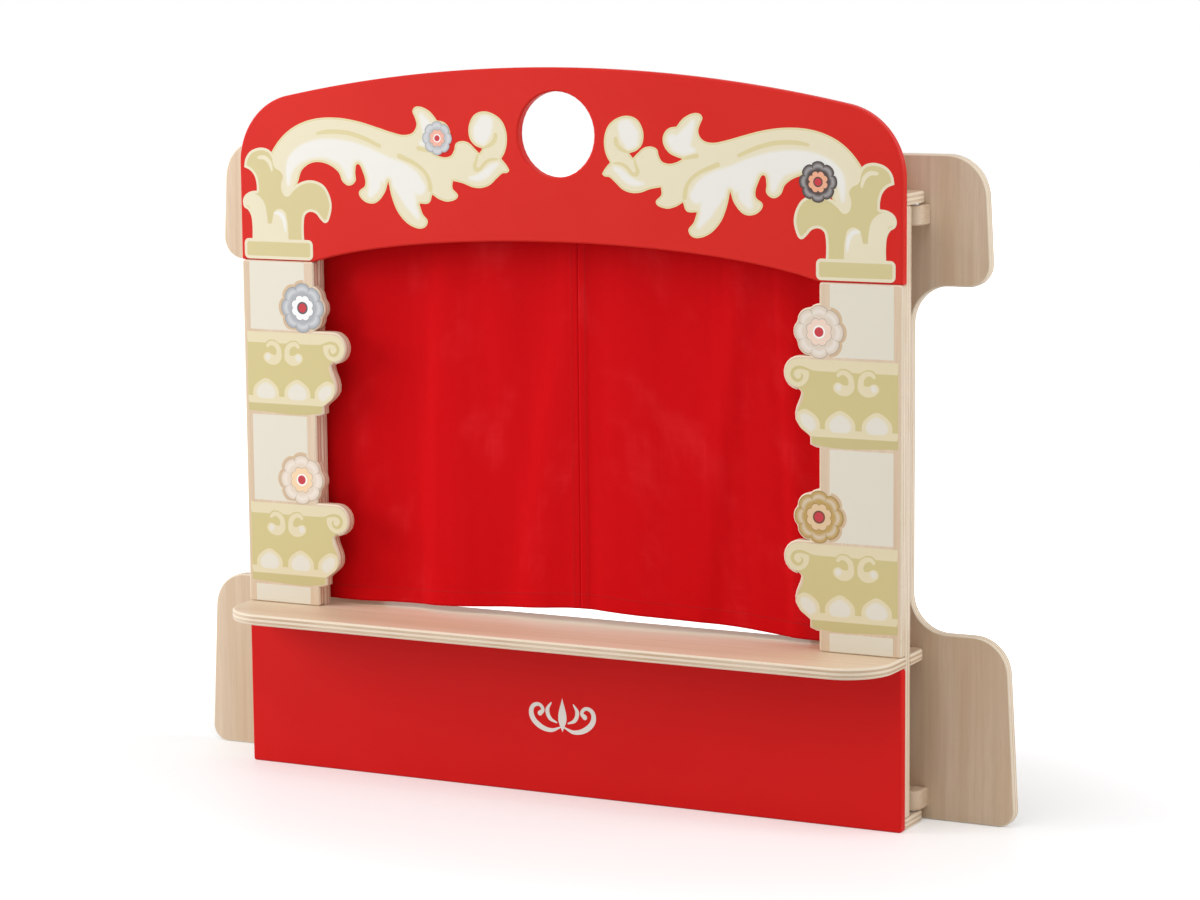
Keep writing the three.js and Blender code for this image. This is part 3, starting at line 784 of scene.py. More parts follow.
LEAF_KHAKI_MM = [
    ([(291, 139.6), (280, 141.4), (255, 141), (243, 138.5), (231, 134.8), (213, 127.2)],
     (1.6, 2.4, 2.5, 2.5, 2.4, 2)),
    ([(189, 117.2), (180.5, 113.9), (171, 110), (162, 104.5), (156, 98.5), (152.3, 91), (151, 82)],
     (2.7, 2.5, 2.2, 2.1, 2.1, 2.4, 2.7)),
    ([(165, 126), (152, 123.2)], (2.6, 1.8)),
    ([(71.3, 142), (72, 137), (75.5, 132.6), (80.7, 129.6), (87, 127.6)], (2.2, 2.6, 2.4, 1.9, 1.1)),
    ([(69, 116.3), (75.8, 116), (81.6, 114), (86.5, 109.8), (90, 105.6), (94, 104.6)],
     (1.2, 1.6, 1.8, 1.9, 2, 2.4)),
    ([(93.3, 120), (94.8, 114), (96.7, 108), (95.7, 105)], (1.3, 1.7, 2.3, 2.2)),
]
CAPITAL_MM = [
    (385.5, 101.2, 1), (383.5, 110.5), (378, 117.8), (368.7, 122.1), (359.5, 122.6), (351.5, 119.5),
    (346.5, 112), (344.5, 104), (337, 99.5), (333, 92), (335.5, 82), (332, 73), (325, 78.5), (315.7, 85),
    (305, 88.4), (294.6, 88), (284, 83.3), (277.3, 73.5), (274.6, 62), (277, 50), (280.5, 43.6), (284, 42.8),
    (289.2, 46.8), (295, 52.8), (302.5, 54.3), (308.2, 51), (310.2, 44), (310, 14, 1), (377, 14, 1),
    (376.6, 40), (378, 48.5), (381.5, 54.3), (386.5, 57.5), (388.1, 64), (385, 70.5), (377.5, 74.7),
    (369.7, 75.8, 1), (369.9, 83), (372.5, 92), (378, 98),
]
CAPITAL_CREAM_MM = [
    ([(383, 64), (376, 65), (369.5, 59), (366.8, 47), (366.2, 34), (366, 14)], (4.5, 8, 9.6, 9.6, 9.8, 10.3)),
    ([(341, 48), (341.2, 38), (341.5, 14)], (8.4, 10.4, 11.6)),
    ([(354, 14), (354, 37)], (7, 3.4)),
    ([(366.5, 112), (359, 112), (353.5, 108), (351, 103), (349.8, 98)], (1.8, 2.4, 2.4, 2, 1.2)),
]
CAPITAL_CHALK_MM = [([(347, 52), (340.5, 51), (336, 45), (334, 32)], (1.4, 2.4, 2.4, 1))]
PLINTH_MM = (299.5, 387, 1.3, 23.5)
PLINTH_CORNER_MM = 5.5
PLINTH_LINE_MM = 3.3
CAPITAL_LINE_MM = 2.9
LEAF_LINE_MM = 2.1

# The right side's print is a little smaller, in width and in height above its capital's middle.
HEADER_FIT = {"right": (0.991, 0.984), "left": (1, 1)}
FIT_RISE_MM = 40

# A balcony's print on the right post: X from the post's inner edge, Z from the balcony's foot. The lower
# foot stands above the ledge, and the upper one hangs below the header's foot.
BALCONY_MM = [
    (86.7, 2.7, 1), (-3, 2.7), (-7.4, 4.4), (-8.4, 10.8, 1), (-14.6, 15.3), (-21.6, 21), (-24.3, 29),
    (-23.3, 38), (-18.4, 48), (-18, 56.4), (-22.6, 60.6, 1), (-32.2, 64.6), (-37.2, 72.8), (-36.3, 81.4),
    (-30.5, 88.2), (-22.3, 90.4), (-10, 90.4), (86.7, 90.4, 1),
]
LOWER_FOOT_MM = 21.5
UPPER_FOOT_MM = 169.5
RAIL_MM = (78.5, 93)
LOWER_RAIL_MM = (11.3, 19.3)
VOLUTE_MM = (-24.6, 75.2, 13.7)
CURL_MM = (
    [(0, 78.2), (-8, 78.4), (-14, 80.2), (-21, 81.6), (-27.5, 79.6), (-30, 74.6), (-27.8, 70), (-23.5, 68),
     (-19.8, 69.8), (-18.6, 73.2), (-19.6, 75.6)],
    (0.4, 0.9, 1.3, 1.6, 1.8, 1.9, 1.9, 1.7, 1.4, 1.1, 0.5),
)
SCROLL_MM = (
    [(21, 75.2), (24.5, 78.2), (30, 77.4), (34.3, 73.5), (35.6, 67.5), (34.2, 62.3), (29.5, 59.9), (24, 60.6),
     (21, 62.6)],
    (1.9, 2.3, 2.6, 3, 3.2, 4.3, 5.4, 5.6, 5.5),
)
SCROLL_BALL_MM = ([(21.6, 63.4), (21.2, 62.4)], (3.2, 3.2))
SCROLL_MIRROR_MM = 81.5
SCROLL_LINE_MM = 1.7
WINDOWS_MM = (-15.7, 23.3, 63.8)
WINDOW_FRAME_MM = [
    (-16.4, 15, 1), (-16.4, 26), (-14.4, 30.2), (-8.4, 35.6), (0, 39.2), (8.4, 35.6), (14.4, 30.2),
    (16.4, 26), (16.4, 15, 1),
]
WINDOW_MM = [
    (-12, 21.5), (-11.2, 27), (-6.5, 32), (0, 34.6), (6.5, 32), (11.2, 27), (12, 21.5), (9.5, 17.8),
    (0, 16.6), (-9.5, 17.8),
]
WINDOW_MARGIN_MM = 3.6
POST_MARGIN_MM = (11.7, 81.8)
PANEL_SPANS_MM = {"lower": (1.5, 20.3), "middle": (114.7, 210.3), "upper": (304.7, 379.5)}
PANEL_CORNER_MM = 0.8
# The panels' ink is thinner than a layer of the ornament's
PANEL_LAYER = 0.6

# The flowers' petals, the seams between them and their inner parts, as shares of the flower's radius
FLOWER_PETALS = 8
FLOWER_NOTCH = 0.13
PETAL_LINE_MM = 0.7
SEAM_SHARES = (0.5, 0.72, 0.92)
SEAM_RADII_MM = (0.25, 0.4, 0.55)
INNER_SHARE = 0.52
INNER_NOTCH = 0.22
RING_SHARE = 0.25
EYE_SHARE = 0.185
# The lit band on the petals, between two outlines: each one's share of the radius, and its notch
LIT_BAND = ((0.86, 0.2), (0.7, 0.1))

# The round bosses that carry the balconies' flowers: their radius and their height above the balcony's
# foot, how much smaller the flower is, and the bare wood that a panel leaves round it
BOSS_RADIUS_MM = 29
BOSS_RISE_MM = 118.5
FLOWER_MARGIN_MM = 1.8
BARE_RADIUS_MM = 30.6

# Side, shift from the post's inner edge and level of each balcony's flower, then the colours of its petals,
# inner petals and ring
FLOWERS = {
    "upper_left": (-1, 14.4, 1, (172, 175, 180), (246, 246, 246), (74, 76, 82)),
    "upper_right": (1, 0, 1, (224, 209, 192), (240, 214, 196), (252, 248, 242)),
    "lower_left": (-1, 19.8, 0, (229, 212, 194), (244, 212, 172), (252, 250, 246)),
    "lower_right": (1, 0, 0, (190, 156, 90), (226, 196, 156), (112, 56, 40)),
}
# Side, place, radius and the same colours of the header's flowers
ROSETTES = {
    "left": (-1, 142, 137, 18, (188, 190, 194), (240, 178, 156), (250, 250, 250)),
    "right": (1, 299, 101, 21, (72, 58, 56), (236, 172, 138), (72, 58, 56)),
}
EYE_RED = (196, 52, 62)

# The white flourish on the front board, right half, from its middle
FLOURISH_MM = [
    ([(2.5, -13), (14, -17), (28, -13), (37, -3), (36, 7), (28, 10), (23.5, 4.5), (27, 0.5)],
     (0.8, 2.2, 3.0, 3.0, 2.4, 1.9, 2.0, 2.8)),
    ([(7, -8), (15, -4), (18, 5), (13.5, 13)], (0.8, 2.2, 2.4, 0.7)),
]
DIAMOND_MM = [(0, -18, 1), (5, -4), (0, 19, 1), (-5, -4)]
FLOURISH_PLACE_MM = (1, 87)


class THEATRE_OT_header_prints(bpy.types.Operator):
    """Prints the acanthus scroll, the capital and its plinth on both sides of the header"""

    bl_idname = "theatre.header_prints"
    bl_label = "Header prints"

    def execute(self, context):
        hues, foot = context.scene.theatre_finishes, HEADER_FOOT / MM
        rim = context.scene.theatre_sizes.rim / MM
        shade = tuple((a + b) / 2 for a, b in zip(hues.khaki, hues.butter))
        leaf_ink = ink("leaf_ink", hues.butter, [
            ("line", shade, 0.25), ("field", hues.cream, 0.3), ("chalk", hues.chalk, 2.4),
            ("khaki", shade, 0.5),
        ])
        capital_ink = ink("capital_ink", hues.cream, [
            ("field", hues.khaki, 0.5), ("cream", hues.cream, 0.6), ("chalk", hues.chalk, 0.9),
        ])
        leaf, capital = (smooth_loop(raised(places, foot)) for places in (LEAF_MM, CAPITAL_MM))
        x0, x1, z0, z1 = PLINTH_MM
        plinth = rounded_rectangle(x0, x1, z0 + foot, z1 + foot, PLINTH_CORNER_MM)
        lit, lines = raised_strokes(LEAF_CHALK_MM, foot), raised_strokes(LEAF_KHAKI_MM, foot)
        flames, shine = raised_strokes(CAPITAL_CREAM_MM, foot), raised_strokes(CAPITAL_CHALK_MM, foot)

        def chalk(p):
            return np.minimum(on_strokes(p, lit), inside_loops(p, [leaf]) - 2 * LEAF_LINE_MM)

        prints = (
            ("leaf", leaf, {"line": rim, "field": LEAF_LINE_MM, "chalk": chalk, "khaki": lines},
             leaf_ink, "cream_print"),
            ("capital", capital, {"field": CAPITAL_LINE_MM, "cream": flames, "chalk": shine},
             capital_ink, "khaki_print"),
            ("plinth", plinth, {"field": PLINTH_LINE_MM, "cream": nowhere, "chalk": nowhere},
             capital_ink, "khaki_print"),
        )
        for name, side in SIDES.items():
            for layer, (kind, loop, zones, material, slot) in enumerate(prints, 1):
                film(f"{kind}_print_{name}", [loop], zones, material, slot, side, layer, HEADER_FIT[name])
        return {"FINISHED"}


def flower_print(name, side, x, z, radius, hues, layer):
    """A round flower: outer petals with seams between them, a smaller row of petals turned half a petal,
    and a round red eye."""
    outer, inner, eye = (srgb(*hue) for hue in hues)
    turn = math.pi / FLOWER_PETALS
    seams = [
        ([(x + radius * share * math.cos(angle), z + radius * share * math.sin(angle))
          for share in SEAM_SHARES], SEAM_RADII_MM)
        for angle in turn + np.arange(FLOWER_PETALS) * 2 * turn
    ]
    shade = dimmed(outer, 0.62)
    light = tuple(v + (1 - v) * 0.35 for v in outer)
    petal_ink = ink(f"{name}_ink", shade, [
        ("petals", outer, 0.35), ("lit", light, 2.5), ("seams", shade, 0.35), ("inner_line", shade, 0.3),
        ("inner", inner, 0.3), ("ring", eye, 0.3), ("eye", srgb(*EYE_RED), 0.3),
    ])
    small = radius * INNER_SHARE

    def lit(p):
        wide, narrow = (in_flower(p, x, z, radius * share, notch) for share, notch in LIT_BAND)
        return np.minimum(wide, -narrow)

    film(f"{name}_print", [flower_loop(x, z, radius, FLOWER_NOTCH)], {
        "petals": lambda p: in_flower(p, x, z, radius - PETAL_LINE_MM, FLOWER_NOTCH),
        "lit": lit,
        "seams": seams,
        "inner_line": lambda p: in_flower(p, x, z, small + PETAL_LINE_MM, INNER_NOTCH, turn),
        "inner": lambda p: in_flower(p, x, z, small, INNER_NOTCH, turn),
        "ring": lambda p: in_disc(p, x, z, radius * RING_SHARE),
        "eye": lambda p: in_disc(p, x, z, radius * EYE_SHARE),
    }, petal_ink, "cream_print", side, layer)


class THEATRE_OT_rosettes(bpy.types.Operator):
    """Prints a small flower on each side of the header's ornament"""

    bl_idname = "theatre.rosettes"
    bl_label = "Header rosettes"

    def execute(self, context):
        for name, (side, x, z, radius, *hues) in ROSETTES.items():
            flower_print(f"rosette_{name}", side, x, z + HEADER_FOOT / MM, radius, hues, 4)
        return {"FINISHED"}


def balcony_feet():
    """Height of the foot of the lower and of the upper balcony, in millimetres from the floor."""
    return LEDGE_TOP / MM + LOWER_FOOT_MM, HEADER_FOOT / MM - UPPER_FOOT_MM


def balcony_zones(foot):
    """The outline and the ink zones of a balcony's print: rails, scrolls and the volute in cream, the panes
    of a row of windows in chalk, and the base under the lower rail. Windows end short of the outline."""
    inner = HALF_STAGE / MM

    def moved(points, shift=0, way=1):
        return [(inner + shift + way * p[0], foot + p[1], *p[2:]) for p in points]

    def paired(stroke):
        path, radii = stroke
        return [(moved(path), radii), (moved(path, SCROLL_MIRROR_MM, -1), radii)]

    loop = smooth_loop(moved(BALCONY_MM))
    curl = paired(CURL_MM)[:1]
    scrolls, balls = paired(SCROLL_MM), paired(SCROLL_BALL_MM)
    frames, panes = (
        [[smooth_loop(moved(outline, place))] for place in WINDOWS_MM]
        for outline in (WINDOW_FRAME_MM, WINDOW_MM)
    )
    disc = (inner + VOLUTE_MM[0], foot + VOLUTE_MM[1], VOLUTE_MM[2])

    def cream(p):
        scroll = on_strokes(p, scrolls)
        rail = np.minimum(in_band(p, RAIL_MM[0] + foot, RAIL_MM[1] + foot), -scroll - SCROLL_LINE_MM)
        volute = np.minimum(np.maximum(rail, in_disc(p, *disc)), -on_strokes(p, curl))
        lower_rail = in_band(p, LOWER_RAIL_MM[0] + foot, LOWER_RAIL_MM[1] + foot)
        arches = [inside_loops(p, arch) for arch in frames]
        return np.maximum.reduce([volute, scroll, lower_rail, *arches])

    def chalk(p):
        clear = inside_loops(p, [loop]) - WINDOW_MARGIN_MM
        glass = np.maximum.reduce([inside_loops(p, pane) for pane in panes])
        return np.maximum(on_strokes(p, balls), np.minimum(glass, clear))

    def base(p):
        return LOWER_RAIL_MM[0] + foot - p[:, 1]

    return loop, {"cream": cream, "chalk": chalk, "base": base}


class THEATRE_OT_balcony_prints(bpy.types.Operator):
    """Prints the rails, the scrolls and the row of windows on each balcony"""

    bl_idname = "theatre.balcony_prints"
    bl_label = "Balcony prints"

    def execute(self, context):
        hues = context.scene.theatre_finishes
        balcony_ink = ink("balcony_ink", hues.balcony, [
            ("base", dimmed(hues.balcony, 0.93), 0.3), ("cream", hues.rail, 0.5), ("chalk", hues.glass, 1.5),
        ])
        for level, foot in zip(LEVELS, balcony_feet()):
            loop, zones = balcony_zones(foot)
            for name, side in SIDES.items():
                film(f"balcony_print_{level}_{name}", [loop], zones, balcony_ink, "khaki_print", side)
        return {"FINISHED"}


def flower_places():
    """Side, place and colours of the flowers on the balconies, in millimetres for the right side."""
    feet = balcony_feet()
    return {
        name: (side, HALF_STAGE / MM + offset, feet[level] + BOSS_RISE_MM, hues)
        for name, (side, offset, level, *hues) in FLOWERS.items()
    }


class THEATRE_OT_flower_prints(bpy.types.Operator):
    """Prints a flower on the round boss above each balcony"""

    bl_idname = "theatre.flower_prints"
    bl_label = "Flower prints"

    def execute(self, context):
        for name, (side, x, z, hues) in flower_places().items():
            flower_print(f"flower_{name}", side, x, z, BOSS_RADIUS_MM - FLOWER_MARGIN_MM, hues, 3)
        return {"FINISHED"}


class THEATRE_OT_post_panels(bpy.types.Operator):
    """Prints the plain cream panels on the posts, with bare wood left round the flowers"""

    bl_idname = "theatre.post_panels"
    bl_label = "Post panels"

    def execute(self, context):
        hues, foot = context.scene.theatre_finishes, LEDGE_TOP / MM
        panel_ink = ink("panel_ink", hues.panel, [("bare", hues.birch_band, 0.25)])
        x0, x1 = (HALF_STAGE / MM + margin for margin in POST_MARGIN_MM)
        for name, side in SIDES.items():
            near = [(x, z) for flower_side, x, z, _ in flower_places().values() if flower_side == side]

            def bare(p):
                return np.maximum.reduce([in_flower(p, x, z, BARE_RADIUS_MM, FLOWER_NOTCH) for x, z in near])

            for level, (z0, z1) in PANEL_SPANS_MM.items():
                loops = [rounded_rectangle(x0, x1, z0 + foot, z1 + foot, PANEL_CORNER_MM)]
                zones = {"bare": bare}
                film(f"post_panel_{level}_{name}", loops, zones, panel_ink, "cream_print", side, PANEL_LAYER)
        return {"FINISHED"}


class THEATRE_OT_flourish(bpy.types.Operator):
    """Prints a small white flourish of scrolls on the front board"""

    bl_idname = "theatre.flourish"
    bl_label = "Front board flourish"

    def execute(self, context):
        chalk = context.scene.theatre_finishes.chalk
        white_ink = ink("flourish_ink", chalk, [("line", chalk, 0.3)])
        right = [ribbon_loop(path, radii) for path, radii in FLOURISH_MM]
        left = [loop[::-1] * (-1, 1) for loop in right]
        loops = [loop + FLOURISH_PLACE_MM for loop in (*right, *left, smooth_loop(DIAMOND_MM))]
        film("front_board_flourish", loops, {"line": nowhere}, white_ink, "cream_print")
        return {"FINISHED"}


# Boards

BOARDS = (
    "stage_ledge", "post_front_right", "post_front_left", "upright_right", "upright_left", "base_plate",
    "top_plate", *WINGS,
)
# How far the grain starts from one board to the next, in metres
GRAIN_STEP = (0.37, 0.61, 0.13)


def rounded(obj, radius):
    """Joins a board's loose triangles for shading and rounds its eased edges a little more."""
    weld = obj.modifiers.new("weld", "WELD")
    weld.merge_threshold = 1e-6
    flat = obj.modifiers.new("flat faces", "DECIMATE")
    flat.decimate_type = "DISSOLVE"
    flat.angle_limit = math.radians(0.2)
    bevel = obj.modifiers.new("round edges", "BEVEL")
    bevel.width = radius
    bevel.segments = 3
    bevel.limit_method = "ANGLE"
    bevel.angle_limit = math.radians(30)
    normals = obj.modifiers.new("even shading", "WEIGHTED_NORMAL")
    normals.keep_sharp = True
    obj.data.polygons.foreach_set("use_smooth", np.ones(len(obj.data.polygons), bool))


class THEATRE_OT_finish_frame(bpy.types.Operator):
    """Paints, coats and rounds the boards, blocks, rod and pins of the frame"""

    bl_idname = "theatre.finish_frame"
    bl_label = "Finish the frame"

    def execute(self, context):
        hues, sizes = context.scene.theatre_finishes, context.scene.theatre_sizes
        steel = turned_steel(hues)
        looks = {
            # The header's paint is the front board's red with a painted sheen.
            "header": painted("header_paint", hues.header_paint, hues.sheened_header_thin),
            "front_panel": painted("front_board_paint", hues.paint, hues.paint_thin),
        }
        for count, node in enumerate(BOARDS):
            looks[node] = birch_board(node, hues, tuple(count * step for step in GRAIN_STEP))
        large = set(looks)
        for side, way in SIDES.items():
            for level, high in zip(LEVELS, (0.2, 0.5)):
                block = solid_wood(f"beech_{level}_block_{side}", hues, "YXZ", (0.1 * way, 0.3, high))
                looks[f"{level}_pivot_block_{side}"] = block
                looks[f"{level}_pivot_pin_{side}"] = looks[f"{level}_washer_{side}"] = steel
            looks[f"rod_cleat_{side}"] = solid_wood(f"beech_cleat_{side}", hues, "ZYX", (0.2 * way, 0.1, 0.4))
        looks["curtain_rod"] = solid_wood("beech_rod", hues, "XYZ", (0.5, 0.2, 0.1))
        for node, material in looks.items():
            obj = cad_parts[node]
            obj.data.materials.clear()
            obj.data.materials.append(material)
            rounded(obj, sizes.edge_round if node in large else sizes.edge_round / 2)
        return {"FINISHED"}


# Curtains

HEM_PLACES_MM = (
    (-324, 187), (-230, 187), (-176, 187.5), (-105, 191), (8, 199), (58, 196.5), (158, 194), (210, 191),
    (255, 186), (324, 185),
)

# The soft steps that make a curtain's folds: the place of a step at the rod and at the hem, its half width
# and its height, all in millimetres; then the share of it that is left at the hem
FOLDS_MM = {
    "left": ((-288, -294, 11, 3.5, 1), (-226, -238, 24, -11, 1), (-168, -180, 10, 7, 0.8),
             (-134, -130, 15, -3.5, 1), (-110, -64, 16, 5.5, 0.2), (-60, -100, 20, -5, 1),
             (-6, -70, 14, 8, 0.7), (16, -24, 18, -5, 0.8)),
    "right": ((20, 14, 7, -2, 1), (50, 36, 13, 4, 0.6), (92, 104, 24, -4, 1), (190, 148, 15, 6, 0.15),
              (216, 158, 12, -6, 1), (237, 252, 4, 1.6, 1), (259, 280, 11, -5, 0.6), (285, 298, 11, 4.5, 1)),
}
# How far each curtain's meeting edge stands out at the hem, in millimetres
MEETING_MM = {"left": -0.2, "right": 0.2}
# Where each curtain's cloth starts on its map, in metres, so that the two show different slubs
MAP_START = {"left": 0.0, "right": 1.7}
# The share of the way from the box's meeting edge to the middle of the gap that the cloth reaches
MEETING_SHARE = 0.7

# How finely the hem's line is sampled, and over how many samples it is eased
HEM_SAMPLES = 200
HEM_WINDOW = 25
# How far a fold's line sways to either side on its way down, and through how many radians
FOLD_SWAY = 2 * MM
FOLD_SWAY_TURN = 5
# The shares of the fall between which a fold changes to what is left of it at the hem
FOLD_LOSS_SPAN = (0.3, 0.8)
# The share of the fall over which the folds start, and the power of the fall that they grow with
FOLD_START = 0.06
FOLD_GROWTH = 0.3
# The waves of the slow ripple: height, radians per metre, lean on the way down, and the height and radians
# per metre of the bend in them
RIPPLE_WAVES = ((1, 145, 2.2, 1, 23), (0.6, 310, -5, 2, 37))
# How fast the small gathers fade on the way down, the share of the fall over which they start, and the
# radians per metre of the bend in them
GATHER_FADE = 9
GATHER_START = 0.03
GATHER_BEND = 31
HEM_BULGE = 0.45 * MM
SIDE_HEM_BULGE = 0.35 * MM
HEM_SOFTNESS = 0.4 * MM
# How far the pocket goes round the rod, as an angle from its front
POCKET_TURN = 1.15 * math.pi
# How far below the rod's axis the flap starts to lean to the front cloth, and its distance from it at the
# stitch line, in cloth thicknesses
FLAP_START = 4 * MM
FLAP_GAP = 1.3
STITCH_INSET = 1.2 * MM
STITCH_LIFT = 0.1 * MM
STITCH_RADIUS = 0.22 * MM
# The part of its pitch that a stitch takes up, and how thick it is along that part
STITCH_SPAN = (0.12, 0.82)
STITCH_TAPER = (0.35, 1, 1, 0.35)


def hem_height(x):
    """Height of the hem across the stage: straight lines through listed points, averaged over a bell
    of neighbours."""
    places = np.array(HEM_PLACES_MM) * MM
    samples = np.linspace(places[0, 0], places[-1, 0], HEM_SAMPLES)
    heights = np.interp(samples, places[:, 0], places[:, 1])
    bell = np.hanning(HEM_WINDOW)
    eased = np.convolve(np.pad(heights, HEM_WINDOW // 2, "edge"), bell / bell.sum(), "valid")
    return np.interp(x, samples, eased)


def turned_in(distance, depth):
    """One where cloth is double, within a hem's depth of its edge, and none beyond, with a soft step."""
    return 1 - ease(distance, depth - HEM_SOFTNESS, depth + HEM_SOFTNESS)


class Drape:
    """The middle surface of one curtain. Across runs from its outer edge, none, to its meeting edge, one."""

    def __init__(self, name, outer, meeting, sizes):
        self.name, self.outer, self.meeting, self.sizes = name, outer, meeting, sizes
        self.pocket = ROD_RADIUS + sizes.pocket_play + sizes.cloth_thickness / 2

    def steps(self, x, fall):
        """A sum of soft steps, in millimetres: each is half its height times the hyperbolic tangent of the
        distance from its leaning line over its width, less its value at the outer edge."""
        total = np.zeros(np.broadcast(x, fall).shape)
        for top, foot, width, rise, left in FOLDS_MM[self.name]:
            line = (top + (foot - top) * fall) * MM + FOLD_SWAY * np.sin(FOLD_SWAY_TURN * fall + top)
            step = np.tanh((x - line) / (width * MM)) - np.tanh((self.outer - line) / (width * MM))
            total = total + 0.5 * rise * (1 + (left - 1) * ease(fall, *FOLD_LOSS_SPAN)) * step
        return total

    def bulge(self, x, height, drop):
        """How far the cloth stands out to the front: the soft steps, tilted a little so that the meeting
        edge comes to its goal, that grow quickly below the rod; a slow ripple, the sum of two bent sines
        that grows with the root of the fall; small gathers that fade below the rod; and the double cloth
        of the hems."""
        s = self.sizes
        fall = np.clip((ROD_Z - height) / drop, 0, 1)
        across = (x - self.outer) / (self.meeting - self.outer)
        folds = self.steps(x, fall) - across * (self.steps(self.meeting, fall) - MEETING_MM[self.name])
        folds = folds * s.fold_depth * ease(fall, 0, FOLD_START) * fall**FOLD_GROWTH
        waves = [
            size * np.sin(pitch * x + lean * fall + bend * np.sin(wander * x))
            for size, pitch, lean, bend, wander in RIPPLE_WAVES
        ]
        ripple = s.ripple_depth * np.sqrt(fall) * sum(waves)
        gathers = s.gather_depth * np.exp(-GATHER_FADE * fall)
        gathers = gathers * np.sin(2 * np.pi * x / s.gather_pitch + np.sin(GATHER_BEND * x))
        gathers = gathers * ease(fall, 0, GATHER_START)
        edge = np.minimum(np.abs(x - self.outer), np.abs(x - self.meeting))
        hems = HEM_BULGE * turned_in(height - hem_height(x), s.hem_depth)
        return folds + ripple + gathers + hems + SIDE_HEM_BULGE * turned_in(edge, s.side_hem)

    def place(self, across):
        return self.outer + (self.meeting - self.outer) * across

    def front(self, across, rise):
        """Points of the front, from the hem at rise none to the rod's axis at rise one."""
        x = self.place(across)
        hem = hem_height(x)
        height = hem + (ROD_Z - hem) * rise
        return np.stack([x, ROD_Y - self.pocket - self.bulge(x, height, ROD_Z - hem), height], -1)

    def over(self, across, share):
        """Points over the rod and down behind it: a part of a circle round its axis."""
        turn = share * POCKET_TURN
        y, z = ROD_Y - self.pocket * np.cos(turn), ROD_Z + self.pocket * np.sin(turn)
        return np.stack([self.place(across), y, z], -1)

    def flap(self, across, share):
        """Points of the back flap, from the end of the turn to the stitch line and on to its end."""
        x, start_y, start_z = np.moveaxis(self.over(across, np.ones_like(share)), -1, 0)
        behind = ROD_Y - self.pocket + self.sizes.cloth_thickness * FLAP_GAP
        height = start_z + (ROD_Z - self.sizes.flap_end - start_z) * share
        reached = ease(height, ROD_Z - FLAP_START, ROD_Z - self.sizes.pocket_depth)
        depth = start_y + (behind - start_y) * reached
        ripple = self.bulge(x, height, ROD_Z - LEDGE_TOP) * ease(share, 0, 1)
        return np.stack([x, depth - ripple, height], -1)


def curtain_mesh(name, drape, columns=150, front_rows=170, over_rows=14, flap_rows=16):
    """The cloth as a grid: each row runs across it, and the rows go up the front from the hem, over the
    rod and down the flap. Its map holds metres of cloth across and along."""
    across = np.linspace(0, 1, columns + 1)
    points = np.concatenate([
        drape.front(*np.broadcast_arrays(across, np.linspace(0, 1, front_rows + 1)[:-1, None])),
        drape.over(*np.broadcast_arrays(across, np.linspace(0, 1, over_rows + 1)[:-1, None])),
        drape.flap(*np.broadcast_arrays(across, np.linspace(0, 1, flap_rows + 1)[:, None])),
    ])
    steps_along = np.linalg.norm(np.diff(points, axis=0), axis=2).mean(1)
    steps_across = np.linalg.norm(np.diff(points, axis=1), axis=2)[:front_rows].mean(0)
    along, wide = (np.concatenate([[0], np.cumsum(steps)]) for steps in (steps_along, steps_across))
    faces = grid_faces(len(points), columns + 1)
    if drape.outer > drape.meeting:
        faces = faces[:, ::-1]
    obj = new_object(name, points.reshape(-1, 3), faces, smooth=True)
    flat = np.stack(np.broadcast_arrays(wide, along[:, None]), -1).reshape(-1, 2)
    flat = flat + (MAP_START[drape.name], 0.0)
    corner = np.zeros(len(obj.data.loops), int)
    obj.data.loops.foreach_get("vertex_index", corner)
    layer = obj.data.uv_layers.new(name="cloth")
    layer.data.foreach_set("uv", flat[corner].astype(np.float32).ravel())
    solid = obj.modifiers.new("thickness", "SOLIDIFY")
    solid.thickness = drape.sizes.cloth_thickness
    solid.offset = 0
    return obj, float(wide[-1]), float(along[-1])


def stitch_row(count, long_axis, place, sides=6):
    """Stitches along a line on the cloth: each is a short round bar carried along four places of the line,
    thinner at its ends. Place gives points for shares of the line."""
    start, end = ((np.arange(count) + share) / count for share in STITCH_SPAN)
    ring = np.linspace(0, 2 * math.pi, sides, endpoint=False)
    centre = place(start[:, None] + (end - start)[:, None] * np.linspace(0, 1, 4))
    thick = STITCH_RADIUS * np.array(STITCH_TAPER)[:, None]
    first, second = (axis for axis in range(3) if axis != long_axis)
    offset = np.zeros((4, sides, 3))
    offset[..., first] = thick * np.cos(ring)
    offset[..., second] = thick * np.sin(ring)
    points = centre[:, :, None, :] + offset
    faces = grid_faces(4, sides, wrap=True).tolist()
    faces += [list(range(sides))[::-1], list(range(3 * sides, 4 * sides))]
    return many(points.reshape(count, -1, 3), faces)


def curtain_stitches(name, drape, width):
    """The hem's, the pocket's and the side hems' stitches as one piece."""
    s = drape.sizes
    lift = (0, s.cloth_thickness / 2 + STITCH_LIFT, 0)

    def hem_row(across):
        hem = hem_height(drape.place(across))
        return drape.front(across, (s.hem_depth - STITCH_INSET) / (ROD_Z - hem)) - lift

    def pocket_row(across):
        hem = hem_height(drape.place(across))
        return drape.front(across, (ROD_Z - s.pocket_depth - hem) / (ROD_Z - hem)) - lift

    def column(across):
        return lambda rise: drape.front(np.full_like(rise, across), rise) - lift

    inset = (s.side_hem - STITCH_INSET) / width
    count, tall = int(width / s.stitch), int((ROD_Z - LEDGE_TOP) / s.stitch)
    rows = [
        stitch_row(count, 0, hem_row), stitch_row(count, 0, pocket_row),
        stitch_row(tall, 2, column(inset)), stitch_row(tall, 2, column(1 - inset)),
    ]
    shifts = np.cumsum([0] + [len(points) for points, _ in rows])
    faces = [[i + shift for i in face] for shift, (_, part) in zip(shifts, rows) for face in part]
    return new_object(name, np.vstack([points for points, _ in rows]), faces, smooth=True)


